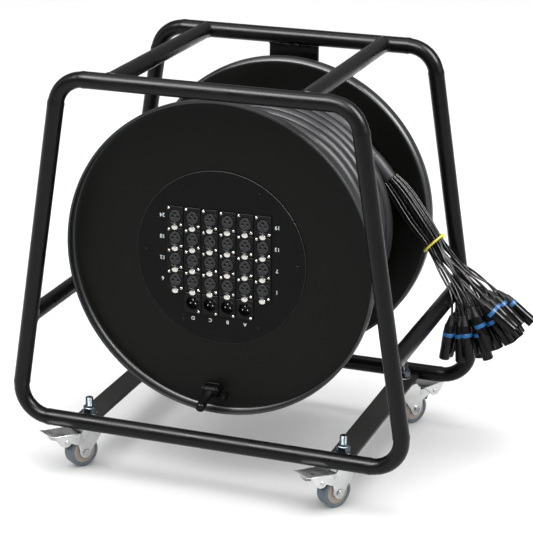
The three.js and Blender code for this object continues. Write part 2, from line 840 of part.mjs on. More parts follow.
function plugBody({ top, down }) {
  const outline = [
    [0, 0],
    [plugBootRadius, 0],
    [plugRadius, plugRingStart],
    [plugRadius, plugLength],
    [0, plugLength],
  ];
  return heading(turned(outline, 6), down).translate(...top);
}

// A tail from its own place on the strand's end, which is given as steps up and along Y, to its plug.
function tail({ top, down, level, row }, up, along) {
  const onward = tailRoute[partingIndex].clone().sub(tailRoute[partingIndex - 1]).setY(0).normalize();
  const normal = new THREE.Vector3(-onward.z, 0, onward.x);
  const start = strandPoint(partingIndex, level, row).addScaledVector(onward, -seatGap);
  start.addScaledVector(normal, up * tailPitch * sine(60));
  start.y += along * tailPitch;
  const length = start.distanceTo(top);
  const curve = new THREE.CubicBezierCurve3(
    start,
    start.clone().addScaledVector(onward, length / 3),
    top.clone().addScaledVector(down, -length / 3),
    top.clone().addScaledVector(down, tailDiameter / 2),
  );
  return tube(curve.getPoints(3), roundSection(tailDiameter / 2, 4));
}

// The strand's seven tails part in rows of two, three and two, so that none crosses another.
function tailStrand(level, row) {
  const members = [tube(tailRoute.map((_, i) => strandPoint(i, level, row)), roundSection(bundleRadius, 6))];
  const places = [];
  for (let column = fanColumns - 1; column >= 0; column--) {
    for (let line = 0; line < fanRows; line++) places.push(plugPlace(column, line));
  }
  const own = places.filter((place) => place.level === level && place.row === row);
  [own.slice(0, 2), own.slice(2, 5), own.slice(5)].forEach((few, i) => {
    few.sort((a, b) => a.layer - b.layer);
    few.forEach((place, k) => {
      members.push(tail(place, 1 - i, k - (few.length - 1) / 2), plugBody(place));
    });
  });
  return join(...members);
}

function bundleTie() {
  const outline = roundSection(tieThickness / 2, 5).map(([a, b]) => [tieRadius + a, b]);
  const tangent = tailRoute[tieIndex + 1].clone().sub(tailRoute[tieIndex - 1]).setY(0).normalize();
  const up = new THREE.Vector3(-tangent.z, 0, tangent.x);
  const place = tailRoute[tieIndex].clone().addScaledVector(up, -tieDrop);
  return heading(turned(outline, 15), tangent).translate(...place);
}

piece(axis, "lead_out", leadStretch(), cableJacket);
piece(axis, "breakout_boot", breakoutBoot(), blackPlastic);
for (const [level, levelName] of [[-1, "lower"], [1, "upper"]]) {
  for (const [row, rowName] of [[-1, "front"], [1, "rear"]]) {
    piece(axis, "tails_" + levelName + "_" + rowName, tailStrand(level, row), blackPlastic);
  }
}
piece(axis, "bundle_tie", bundleTie(), tieYellow);

// Casters, each in its own group: x is the way that the wheel trails, y is along its axle

const wheelSides = 16;
const wheelAxis = wheelRadius * cosine(180 / wheelSides); // the wheel stands on a flat
const raceTop = casterHeight - seatGap;
const crownTop = raceTop - raceThickness - seatGap;
const crownBottom = crownTop - crownThickness;
const forkInner = wheelWidth / 2 + forkSideGap;
const forkOuter = forkInner + forkSheet;
const cheekInner = forkOuter + pedalSideGap;
const cheekOuter = cheekInner + pedalSheet;
const pedalPivotHeight = casterHeight - pedalPivotDrop;
const pedalTopFront = casterHeight - pedalFrontDrop;
const pedalTopTip = casterHeight - pedalTipDrop;

function casterStem() {
  const washerBottom = casterHeight + stripThickness + seatGap;
  const nutBottom = washerBottom + washerThickness;
  const rivetBottom = crownBottom - seatGap - rivetThickness;
  const shaft = upright(stemRadius, rivetBottom, casterHeight + stripThickness + stemRise, 8);
  const rivet = upright(rivetRadius, rivetBottom, crownBottom - seatGap, 8);
  const race = upright(raceRadius, raceTop - raceThickness, raceTop);
  const washer = upright(washerRadius, washerBottom, nutBottom, 8);
  const nutFoot = nutBottom - washerThickness / 2;
  const nut = upright(nutAcrossFlats / 2 / cosine(30), nutFoot, nutBottom + nutHeight, 6);
  return join(shaft, rivet, race, washer, nut);
}

function forkCheek(from, to) {
  const waist = pedalPivotHeight + pedalLobe / 2;
  const outline = new THREE.Shape();
  outline.moveTo(-crownHalf, crownTop);
  outline.lineTo(-crownHalf * forkNeckShare, pedalPivotHeight);
  outline.lineTo(casterTrail - forkLobe, wheelAxis);
  outline.absarc(casterTrail, wheelAxis, forkLobe, Math.PI, 2 * Math.PI);
  outline.lineTo(casterTrail + forkLobe * forkWebShares[0], wheelAxis + forkLobe * forkWebShares[1]);
  outline.lineTo(pedalPivotReach - pedalLobe, pedalPivotHeight - pedalLobe * forkChinShare);
  const lobeStart = THREE.MathUtils.degToRad(pedalLobeStart);
  outline.absarc(pedalPivotReach, pedalPivotHeight, pedalLobe, lobeStart, Math.PI / 2);
  outline.lineTo(crownHalf * forkShoulderShare, waist + pedalLobe / 2);
  outline.lineTo(crownHalf, crownTop);
  return plate(outline, from, to);
}

function casterFork() {
  const crown = block([-crownHalf, -forkOuter, crownBottom], [crownHalf, forkOuter, crownTop]);
  const stemHole = upright(stemRadius + runningGap, crownBottom - overrun, crownTop + overrun);
  const axleHole = rod(casterAxleRadius + seatGap, -forkOuter - overrun, forkOuter + overrun, 8);
  const pinHole = rod(pedalPinRadius + runningGap, -forkOuter - overrun, forkOuter + overrun, 8);
  return cut(
    join(crown, forkCheek(-forkOuter, -forkInner), forkCheek(forkInner, forkOuter)),
    stemHole,
    axleHole.translate(casterTrail, 0, wheelAxis),
    pinHole.translate(pedalPivotReach, 0, pedalPivotHeight),
  );
}

function casterAxle() {
  const end = forkOuter + seatGap;
  const tip = end + casterAxleHeadDepth;
  const members = [
    rod(casterAxleRadius, -tip, tip, 8),
    rod(casterAxleHead, end, tip, 6),
    rod(casterAxleHead, -tip, -end, 6),
  ];
  return join(...members).translate(casterTrail, 0, wheelAxis);
}

function casterWheel() {
  const bore = casterAxleRadius + runningGap;
  const half = wheelWidth / 2;
  const outline = [
    [bore, -half],
    [wheelRadius - tyreShoulder, -half],
    [wheelRadius, tyreShoulder - half],
    [wheelRadius, half - tyreShoulder],
    [wheelRadius - tyreShoulder, half],
    [bore, half],
  ];
  return turned(outline, wheelSides).rotateY(Math.PI / wheelSides).translate(casterTrail, 0, wheelAxis);
}

function casterPedal() {
  const tread = [
    [pedalFrontReach, pedalTopFront],
    [pedalTipReach, pedalTopTip],
    [pedalTipReach, pedalTopTip - pedalSheet],
    [pedalFrontReach, pedalTopFront - pedalSheet],
  ];
  const cheek = [
    [pedalFrontReach, pedalTopFront],
    [pedalTipReach, pedalTopTip],
    [pedalTipReach, pedalTopTip - pedalSheet],
    [pedalPivotReach + pedalLobe, pedalPivotHeight - pedalLobe / 2],
    [pedalPivotReach - pedalLobe / 2, pedalPivotHeight - pedalLobe],
    [pedalFrontReach + pedalLobe, pedalPivotHeight + pedalLobe / 2],
  ];
  const shoeReach = wheelRadius + shoeGap;
  const shoe = [
    [casterTrail + shoeReach * cosine(shoeHigh), wheelAxis + shoeReach * sine(shoeHigh)],
    [casterTrail + shoeReach * cosine(shoeLow), wheelAxis + shoeReach * sine(shoeLow)],
    [pedalPivotReach, pedalPivotHeight - pedalPinRadius],
    [pedalPivotReach, pedalTopFront],
    [pedalPivotReach - pedalLobe, pedalTopFront],
  ];
  const pinEnd = cheekOuter + pedalRivetHead;
  return join(
    plate(tread, -cheekOuter, cheekOuter),
    plate(cheek, -cheekOuter, -cheekInner),
    plate(cheek, cheekInner, cheekOuter),
    plate(shoe, -shoeWidth / 2, shoeWidth / 2),
    rod(pedalPinRadius, -pinEnd, pinEnd, 8).translate(pedalPivotReach, 0, pedalPivotHeight),
  );
}

for (const [end, endName] of [[-1, "front"], [1, "rear"]]) {
  for (const [side, sideName] of [[-1, "left"], [1, "right"]]) {
    const caster = new THREE.Group();
    const corner = endName + "_" + sideName;
    caster.position.set(side * stripOffset, end * casterOffset, 0);
    caster.rotation.z = THREE.MathUtils.degToRad(casterTurn + (end > 0 ? 180 : 0));
    part.add(caster);
    piece(caster, "caster_stem_" + corner, casterStem(), zinc);
    piece(caster, "caster_fork_" + corner, casterFork(), zinc);
    piece(caster, "caster_axle_" + corner, casterAxle(), zinc);
    piece(caster, "caster_wheel_" + corner, casterWheel(), tyreGrey);
    piece(caster, "caster_pedal_" + corner, casterPedal(), zinc);
  }
}

export default part;
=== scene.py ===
import random
from math import acos, cos, hypot, pi, radians, sin, tan

import bmesh
import bpy
import numpy as np
from mathutils import Matrix, Vector
from mathutils.geometry import tessellate_polygon


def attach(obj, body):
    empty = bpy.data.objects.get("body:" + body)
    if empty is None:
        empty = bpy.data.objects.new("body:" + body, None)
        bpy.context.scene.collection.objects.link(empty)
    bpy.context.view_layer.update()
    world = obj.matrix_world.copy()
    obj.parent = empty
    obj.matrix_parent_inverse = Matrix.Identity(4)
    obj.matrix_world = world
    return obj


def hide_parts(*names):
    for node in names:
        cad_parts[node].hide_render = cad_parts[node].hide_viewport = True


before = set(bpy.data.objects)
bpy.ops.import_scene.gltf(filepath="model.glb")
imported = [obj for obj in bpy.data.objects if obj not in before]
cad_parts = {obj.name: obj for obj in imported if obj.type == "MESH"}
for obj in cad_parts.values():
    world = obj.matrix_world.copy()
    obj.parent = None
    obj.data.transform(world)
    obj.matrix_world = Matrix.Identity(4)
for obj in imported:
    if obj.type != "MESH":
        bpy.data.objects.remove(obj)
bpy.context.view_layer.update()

MM = 0.001  # sizes below are in millimetres, as in the CAD, and pieces are made in metres

# Sizes that the CAD source has
AXIS_HEIGHT = 345.5
TUBE_RADIUS = 12.5
LOOP_HALF_SPACING = 190.5
LOOP_TOP = (224, 611)
LOOP_BOTTOM = (308, 80)
BEND_RADIUS = 45
TOP_BAR_X = 146
SIDE_BAR = (282.7, 240)
STRIP = dict(x=203.5, half=19, reach=190, low=74, high=79)
PLATE = dict(half=40, front=187.5, rear=193.5)
AXLE_BORE = 10.3
FRONT_FACE = -125
REAR_FACE = 147
FLANGE_RADIUS = 240
CORE_RADIUS = 166
CABLE_RADIUS = 11.5
WINDING_RADIUS = 177.9
TURN_PITCH = 24
TURNS = 9
WINDING_START = -110.5
WINDING_ANGLE = 225
CROSSING_SHARE = 0.25
LEAD_ANGLE = 42
LEAD_RADIUS = 179.35
LEAD_Y = 130.5
SEAT_GAP = 0.3
BOOT_LENGTH = 45
PANEL_RADIUS = 132.5
PANEL_BACK = -127.3
PANEL_FRONT = -129.3
PLATE_FRONT = -131.3
CASTER_Y = 157
CASTER_TURN = 237
WHEEL_RADIUS = 25 * cos(pi / 16)  # the CAD wheel stands on a flat of its sixteen
CASTER_TRAIL = 17
AXLE = (0, 0, AXIS_HEIGHT)

SHARP_ANGLE = 35  # degrees, above which an edge is shaded as a corner

rng = random.Random(7)
scene = bpy.context.scene


def in_scene(name, data):
    made = bpy.data.objects.new(name, data)
    scene.collection.objects.link(made)
    return made


# Camera

def place_camera(azimuth, elevation, roll, distance, target, lens, shift):
    a, e, r = (radians(v) for v in (azimuth, elevation, roll))
    back = Vector((sin(a) * cos(e), -cos(a) * cos(e), sin(e)))
    level = Vector((0, 0, 1)).cross(back).normalized()
    upward = back.cross(level)
    right = level * cos(r) + upward * sin(r)
    up = upward * cos(r) - level * sin(r)
    data = bpy.data.cameras.new("camera")
    data.lens = lens
    data.sensor_width = 36
    data.shift_x, data.shift_y = shift
    data.clip_start, data.clip_end = 0.1, 50
    camera = in_scene("camera", data)
    matrix = Matrix((right, up, back)).transposed().to_4x4()
    matrix.translation = (Vector(target) + back * distance) * MM
    camera.matrix_world = matrix
    scene.camera = camera


place_camera(azimuth=20.37, elevation=19.18, roll=0.24, distance=3128, target=(-3.75, 0, 272.6), lens=137.8,
             shift=(0.0335, 0.0218))


# Finishes: each is a shader with its own grain, blotches and change of gloss

def finish(name, colour, roughness, metallic=0.0, grain=2500, bump=0.02, mottle=0.15, patch=25, gloss=0.07,
           stretch=(1, 1, 1), specular=0.5):
    """Grain and patch are noise scales, bump is a depth in millimetres, and mottle and gloss are how far
    the colour and the roughness swing."""
    material = bpy.data.materials.new(name)
    material.use_nodes = True
    nodes, links = material.node_tree.nodes, material.node_tree.links
    shader = nodes["Principled BSDF"]
    shader.inputs["Metallic"].default_value = metallic
    shader.inputs["Specular IOR Level"].default_value = specular

    def node(kind, **values):
        made = nodes.new("ShaderNode" + kind)
        for label, value in values.items():
            made.inputs[label.replace("_", " ")].default_value = value
        return made

    def join(start, output, end, into):
        links.new(start.outputs[output], end.inputs[into])

    place = node("TexCoord")
    scaled = node("Mapping", Scale=stretch)
    join(place, "Object", scaled, "Vector")
    blotch = node("TexNoise", Scale=patch, Detail=5)
    join(scaled, "Vector", blotch, "Vector")
    mix = node("Mix")
    mix.data_type = "RGBA"
    mix.inputs["A"].default_value = (*(c * (1 - mottle) for c in colour), 1)
    mix.inputs["B"].default_value = (*(c * (1 + mottle) for c in colour), 1)
    join(blotch, "Fac", mix, "Factor")
    join(mix, "Result", shader, "Base Color")
    sheen = node("MapRange", From_Min=0.3, From_Max=0.7, To_Min=roughness - gloss, To_Max=roughness + gloss)
    join(blotch, "Fac", sheen, "Value")
    join(sheen, "Result", shader, "Roughness")
    fine = node("TexNoise", Scale=grain, Detail=2)
    join(scaled, "Vector", fine, "Vector")
    relief = node("Bump", Strength=0.5, Distance=bump * MM)
    join(fine, "Fac", relief, "Height")
    join(relief, "Normal", shader, "Normal")
    return material


PAINT = dict(grain=1500, bump=0.05)
PRESSED = dict(grain=1200, bump=0.04, patch=9, gloss=0.05)
powder = finish("powder_coat", (0.003, 0.003, 0.0031), 0.3, specular=0.16, **PAINT)
sheet = finish("drum_coat", (0.0034, 0.0038, 0.0028), 0.36, specular=0.1, **PRESSED)
# the lip's coat is the drum's coat made lighter and bluer: painted light of the floor's bounce on the rolled
# rim
lip_painted_bounce = finish("lip_painted_bounce", (0.006, 0.0068, 0.0075), 0.42, specular=0.5, **PRESSED)
# the strips' coat is the frame's black made several times lighter: painted light from the lamp above on their
# flat tops
strip_painted_light = finish("strip_painted_light", (0.016, 0.0155, 0.0145), 0.5, specular=0.3, **PAINT)
crank_coat = finish("crank_coat", (0.003, 0.003, 0.0031), 0.5, specular=0.08, **PAINT)
panel_black = finish("panel_black", (0.0035, 0.0039, 0.0032), 0.5, patch=30, specular=0.07)
white_print = finish("white_print", (0.62, 0.68, 0.72), 0.5, patch=200, mottle=0.08)
rim_edge_band = finish("rim_line", (0.022, 0.023, 0.023), 0.5, patch=200, mottle=0.2)
zinc = finish("zinc", (0.48, 0.49, 0.5), 0.27, 1.0, 900, 0.03, patch=120, mottle=0.1, gloss=0.08)
zinc_dull = finish("zinc_pressed", (0.58, 0.59, 0.58), 0.34, 1.0, 700, 0.05, patch=90, mottle=0.14,
                   gloss=0.1)
# a darker, bluer copy of the zinc for the stems and nuts: painted shade in place of the dark reflections on
# them
zinc_blue_painted_shade = finish("zinc_blue_painted_shade", (0.085, 0.1, 0.115), 0.3, 1.0, 900, 0.03, patch=150, mottle=0.2,
                   gloss=0.08)
steel = finish("machined_steel", (0.5, 0.51, 0.53), 0.28, 1.0, stretch=(1, 30, 1), patch=60, mottle=0.1)
nickel = finish("nickel", (0.55, 0.53, 0.5), 0.24, 1.0, patch=400, mottle=0.07, gloss=0.06)
black_plastic = finish("black_plastic", (0.003, 0.003, 0.003), 0.33, grain=3000, bump=0.03, specular=0.12)
insert_grey = finish("insert_plastic", (0.016, 0.0165, 0.018), 0.5, patch=300, mottle=0.2, specular=0.25)
# black drawn into holes and recesses: painted shade
hole_shade = finish("hole_shade", (0.003, 0.003, 0.003), 0.7, patch=300)
jacket = finish("cable_jacket", (0.02, 0.0208, 0.023), 0.42, grain=900, bump=0.06, patch=14, mottle=0.22,
                gloss=0.08, specular=0.26)
tail_jacket = finish("tail_jacket", (0.004, 0.004, 0.0046), 0.27, grain=400, bump=0.002, patch=60, gloss=0.05,
                     specular=0.33)
boot_rubber = finish("boot_rubber", (0.007, 0.007, 0.007), 0.46, grain=2200, bump=0.04, patch=80,
                     specular=0.2)
shell_black = finish("shell_black", (0.002, 0.002, 0.0022), 0.17, bump=0.002, patch=150, mottle=0.2,
                     gloss=0.05, specular=0.16)
ring_blue = finish("ring_blue", (0.012, 0.125, 0.36), 0.4, patch=250, specular=0.3)
ring_red = finish("ring_red", (0.28, 0.01, 0.018), 0.4, patch=250)
tyre = finish("tyre", (0.095, 0.125, 0.145), 0.62, grain=1800, bump=0.08, patch=110, mottle=0.2)
wheel_core = finish("wheel_core", (0.3, 0.255, 0.215), 0.5, patch=130, mottle=0.15)
tie_yellow = finish("tie_yellow", (0.78, 0.68, 0.045), 0.5, grain=1800, bump=0.15, patch=300, mottle=0.2)
pale_floor = finish("pale_floor", (0.86, 0.86, 0.86), 0.8, patch=2, mottle=0.01, grain=300, bump=0.01)


# Shapes: points in millimetres and faces, as a pair

def round_angles(sides):
    return np.arange(sides) * 2 * pi / sides


def turned(outline, sides):
    """A body of revolution round Y from (radius, y) pairs, with a third number where flutes go deep."""
    angles = round_angles(sides)
    points, rows, faces = [], [], []
    for radius, y, *deep in outline:
        start = len(points)
        if radius < 1e-6:
            points.append((0, y, 0))
            rows.append([start])
            continue
        flute = deep[0] if deep else 0
        reach = radius - flute * (0.5 - 0.5 * np.cos(angles * 12))
        points += [(r * cos(a), y, r * sin(a)) for r, a in zip(reach, angles)]
        rows.append(list(range(start, start + sides)))
    for a, b in zip(rows, rows[1:]):
        for k in range(sides):
            n = (k + 1) % sides
            if len(a) == 1 and len(b) > 1:
                faces.append((a[0], b[n], b[k]))
            elif len(b) == 1 and len(a) > 1:
                faces.append((a[k], a[n], b[0]))
            elif len(a) > 1:
                faces.append((a[k], a[n], b[n], b[k]))
    return np.array(points, float), faces


def ring_of(outline, sides):
    return turned([*outline, outline[0]], sides)


def spline(points, spacing):
    """A smooth line through points, with a point about every spacing."""
    p = [np.array(q, float) for q in points]
    p = [2 * p[0] - p[1], *p, 2 * p[-1] - p[-2]]
    line = []
    for a, b, c, d in zip(p, p[1:], p[2:], p[3:]):
        steps = max(1, round(np.linalg.norm(c - b) / spacing))
        for t in np.arange(steps) / steps:
            line.append(0.5 * (2 * b + (c - a) * t + (2 * a - 5 * b + 4 * c - d) * t ** 2
                               + (3 * b - 3 * c + d - a) * t ** 3))
    return np.array([*line, p[-2]])


def tube(points, radius, sides, closed=False):
    """A tube along a line; radius is one number or one for each point."""
    p = np.array(points, float)
    count = len(p)
    radii = np.broadcast_to(radius, count)
    if closed:
        tangents = np.roll(p, -1, 0) - np.roll(p, 1, 0)
    else:
        tangents = np.gradient(p, axis=0)
    tangents /= np.linalg.norm(tangents, axis=1)[:, None]
    least = np.eye(3)[np.abs(tangents[0]).argmin()]
    side = np.cross(tangents[0], least)
    angles = round_angles(sides)
    rings = []
    for centre, tangent, r in zip(p, tangents, radii):
        side = side - tangent * side.dot(tangent)
        side /= np.linalg.norm(side)
        other = np.cross(tangent, side)
        rings.append(centre + r * (np.cos(angles)[:, None] * side + np.sin(angles)[:, None] * other))
    if closed:  # the first ring's corners are found again by the nearest of the last
        turn = int(np.linalg.norm(rings[-1] - rings[0][0], axis=1).argmin())
    faces = []
    for i in range(count if closed else count - 1):
        a, b = i * sides, ((i + 1) % count) * sides
        shift = turn if closed and i == count - 1 else 0
        faces += [(a + (k + shift) % sides, a + (k + 1 + shift) % sides, b + (k + 1) % sides, b + k)
                  for k in range(sides)]
    if not closed:
        faces += [tuple(range(sides))[::-1], tuple((count - 1) * sides + k for k in range(sides))]
    return np.concatenate(rings), faces


def rounded(outline, radius, steps):
    """A flat outline with its corners rounded."""
    points = []
    p = [np.array(q, float) for q in outline]
    for before, corner, after in zip([p[-1], *p], p, [*p[1:], p[0]]):
        back, ahead = before - corner, after - corner
        reach = min(radius, np.linalg.norm(back) / 2.01, np.linalg.norm(ahead) / 2.01)
        back, ahead = back / np.linalg.norm(back) * reach, ahead / np.linalg.norm(ahead) * reach
        for t in np.linspace(0, 1, steps + 1):
            points.append(corner + back * (1 - t) ** 2 + ahead * t ** 2)
    return points


def rectangle(x0, z0, x1, z1):
    return [(x0, z0), (x1, z0), (x1, z1), (x0, z1)]


def circle(x, z, radius, sides):
    return [(x + radius * cos(a), z + radius * sin(a)) for a in round_angles(sides)]


def wound(outline, way):
    """The outline, turned over if it doesn't run round that way."""
    p = np.array(outline, float)
    area = (p[:, 0] * np.roll(p[:, 1], -1) - p[:, 1] * np.roll(p[:, 0], -1)).sum()
    return p if (area > 0) == (way > 0) else p[::-1]


def inset(p, amount):
    ahead = np.roll(p, -1, 0) - p
    ahead /= np.maximum(np.linalg.norm(ahead, axis=1)[:, None], 1e-9)
    normal = np.stack([-ahead[:, 1], ahead[:, 0]], 1)
    both = normal + np.roll(normal, 1, 0)
    both /= np.maximum((both ** 2).sum(1)[:, None] / 2, 0.5)
    return p + both * amount


def prism(outline, low, high, bevel, holes=()):
    """A flat outline in X and Z, with holes, made solid from low to high on Y, its edges broken."""
    loops = [wound(outline, 1), *(wound(hole, -1) for hole in holes)]
    points, faces, ends = [], [], ([], [])
    for loop in loops:
        n, start = len(loop), len(points)
        small = inset(loop, bevel)
        for ring, y in ((small, low), (loop, low + bevel), (loop, high - bevel), (small, high)):
            points += [(x, y, z) for x, z in ring]
        for row in range(3):
            a, b = start + row * n, start + (row + 1) * n
            faces += [(a + k, a + (k + 1) % n, b + (k + 1) % n, b + k) for k in range(n)]
        ends[0].append(list(range(start, start + n)))
        ends[1].append(list(range(start + 3 * n, start + 4 * n)))
    for loops_at in ends:
        flat = [[Vector((points[i][0], points[i][2], 0)) for i in loop] for loop in loops_at]
        index = [i for loop in loops_at for i in loop]
        faces += [tuple(index[i] for i in t) for t in tessellate_polygon(flat)]
    return np.array(points, float), faces


def box(low, high, bevel):
    (x0, y0, z0), (x1, y1, z1) = low, high
    return prism(rounded(rectangle(x0, z0, x1, z1), bevel * 1.6, 2), y0, y1, bevel)


def placed(shape, origin=(0, 0, 0), turn=None, scale=(1, 1, 1)):
    points = shape[0] * np.array(scale, float)
    if turn is not None:
        points = points @ np.array(turn, float).T
    return points + np.array(origin, float), shape[1]


def rotation(axis, degrees):
    return np.array(Matrix.Rotation(radians(degrees), 3, axis))


def aim(heading):
    """The turn that brings Y to heading."""
    return np.array(Vector((0, 1, 0)).rotation_difference(Vector(heading)).to_matrix())


def hexagon(flats, low, high, bore=0.0):
    """A nut or bolt head along Y, its corners chamfered at both ends."""
    corner = flats / 2 / cos(pi / 6)
    holes = [circle(0, 0, bore, 24)] if bore else []
    return prism(rounded(circle(0, 0, corner, 6), corner * 0.06, 1), low, high, flats * 0.045, holes)


def threaded(radius, low, high):
    pitch, lead_in = 1.5, 0.6
    outline = [(0, low), (radius - lead_in, low)]
    y = low + lead_in
    while y + pitch < high - lead_in:
        outline += [(radius, y), (radius - 0.55, y + pitch / 2)]
        y += pitch
    return turned([*outline, (radius, y), (radius - 0.9, high), (0, high)], 24)


def dressed(name, data, body, slot, *replaced):
    """An object in the scene that rides on its body and stands for its nodes."""
    made = in_scene(name, data)
    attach(made, body)
    if replaced:
        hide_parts(*replaced)
    return made


class Form:
    """Shapes with their finishes, gathered into one piece."""

    def __init__(self):
        self.points, self.faces, self.kinds, self.materials = [], [], [], []
        self.count = 0

    def add(self, shape, material, origin=(0, 0, 0), turn=None, scale=(1, 1, 1)):
        if material not in self.materials:
            self.materials.append(material)
        points, faces = placed(shape, origin, turn, scale)
        self.points.append(points)
        self.faces += [tuple(i + self.count for i in face) for face in faces]
        self.kinds += [self.materials.index(material)] * len(faces)
        self.count += len(points)
        return self

    def spin(self, outline, sides, material, origin=(0, 0, 0), turn=None, scale=(1, 1, 1)):
        return self.add(turned(outline, sides), material, origin, turn, scale)

    def refinish(self, material, chosen):
        """Gives another finish to the faces whose middle is chosen."""
        points = np.concatenate(self.points)
        self.materials.append(material)
        for i, face in enumerate(self.faces):
            if chosen(*points[list(face)].mean(0)):
                self.kinds[i] = len(self.materials) - 1
        return self

    def piece(self, name, body, slot, *replaced, turn=None, origin=(0, 0, 0)):
        points, _ = placed((np.concatenate(self.points), None), origin, turn)
        mesh = bpy.data.meshes.new(name)
        mesh.from_pydata((points * MM).tolist(), [], self.faces)
        for material in self.materials:
            mesh.materials.append(material)
        mesh.polygons.foreach_set("material_index", self.kinds)
        edit = bmesh.new()
        edit.from_mesh(mesh)
        bmesh.ops.recalc_face_normals(edit, faces=edit.faces)
        edit.to_mesh(mesh)
        edit.free()
        mesh.shade_smooth()
        mesh.set_sharp_from_angle(angle=radians(SHARP_ANGLE))
        return dressed(name, mesh, body, slot, *replaced)

    def stand_in(self, name, body, slot, **place):
        """A piece that replaces the node of its own name."""
        return self.piece(name, body, slot, name, **place)


def length_of(points):
    return float(np.linalg.norm(np.diff(np.array(points), axis=0), axis=1).sum())


def on_circle(radius, degrees, y):
    """A point round the drum's axis, from +X towards +Z."""
    a = radians(degrees)
    return np.array([radius * cos(a), y, radius * sin(a) + AXIS_HEIGHT])


def unit(v):
    return v / np.linalg.norm(v)


# Cords: the cable's last stretch with its boot, then 28 tails with their plugs

lead_end = on_circle(LEAD_RADIUS, LEAD_ANGLE, LEAD_Y)
lead_heading = on_circle(1, LEAD_ANGLE - 90, 0) - on_circle(0, 0, 0)
boot_start = lead_end + lead_heading * (2 * CABLE_RADIUS + SEAT_GAP)
boot_end = 2 * CABLE_RADIUS + BOOT_LENGTH + 3 * SEAT_GAP

LEAD_STEPS = 36
DIVES = ((18, 26), (12, 15), (6, 5))  # degrees past the end, and how far below the outer layer
dive = [on_circle(LEAD_RADIUS - drop, WINDING_ANGLE + turn, LEAD_Y) for turn, drop in DIVES]
around = [on_circle(LEAD_RADIUS, WINDING_ANGLE - k * (WINDING_ANGLE - LEAD_ANGLE) / LEAD_STEPS, LEAD_Y)
          for k in range(LEAD_STEPS + 1)]
lead_path = np.array([*dive, *around, lead_end + lead_heading * CABLE_RADIUS, boot_start + lead_heading * 4])
lead = Form().add(tube(lead_path, CABLE_RADIUS, 24), jacket).stand_in("lead_out", "frame", "cable_jacket")

boot_outline = [(0, 0), (11.6, 0), (12.1, 1), (12.4, 4), (12.9, 12), (12.9, 24), (12.4, 34), (11.9, 41),
                (11.4, 44.4), (10.8, 45), (0, 45)]
boot = Form().spin(boot_outline, 48, jacket, boot_start, aim(lead_heading))
boot = boot.stand_in("breakout_boot", "frame", "black_plastic")

TAIL_ROUTE = [
    lead_end + lead_heading * boot_end,
    lead_end + lead_heading * (boot_end + 2 * CABLE_RADIUS),
    *(np.array([x, y, z + AXIS_HEIGHT]) for x, y, z in (
        (224, 127, 14), (254, 126, -24), (267, 125, -50), (275, 125, -68.4), (283, 125, -79.5),
        (292, 125, -82.4), (300, 125, -87))),
]
TIE_AT = 3
BUNDLE_PITCH = 12.2
TAIL_PITCH = 3.9
TAIL_RADIUS = 1.8
FAN_TOP = (305, 120, -60)
FAN_FIRST, FAN_STEP = -6, 9.2
FAN_PITCH = 12.6
PLUG_LENGTH = 73
PLUG_RADIUS = 9.1
PLUG_TRIES = 60
RED_PLUGS = {(1, 2), (2, 1), (4, 3), (5, 2)}
LOOSE = (1, 1.35, 1.45, 1.15)  # how far the bundle spreads at each point of its route up to the tie
BAR_AXIS = np.array([SIDE_BAR[0], 0, SIDE_BAR[1]])


def route_frame(before, after):
    """The direction from one point of the tails' route to another, and the normal above it."""
    tangent = unit((TAIL_ROUTE[after] - TAIL_ROUTE[before]) * (1, 0, 1))
    return tangent, np.array([-tangent[2], 0, tangent[0]])


def strand_point(index, level, row, up, along, loose):
    _, normal = route_frame(max(index - 1, 0), min(index + 1, len(TAIL_ROUTE) - 1))
    lift = level * BUNDLE_PITCH / 2 + up * TAIL_PITCH * sin(pi / 3)
    across = row * BUNDLE_PITCH / 2 + along * TAIL_PITCH
    return TAIL_ROUTE[index] + (normal * lift + np.array([0, across, 0])) * (loose, (1 + loose) / 2, loose)


def plug_place(column, line):
    layer = 2 * line + column % 2
    upper = column > 3 or (column == 3 and line in (1, 2))
    angle = radians(FAN_FIRST + FAN_STEP * column)
    down = np.array([sin(angle), 0, -cos(angle)])
    reach = 52 + 2.5 * layer + (0 if upper else 10)
    x, y, z = FAN_TOP
    top = np.array([x, y + (layer - 3.5) * FAN_PITCH, z + AXIS_HEIGHT]) + down * reach
    return dict(column=column, line=line, layer=layer, down=down, top=top,
                level=1 if upper else -1, row=1 if line > 1 else -1)


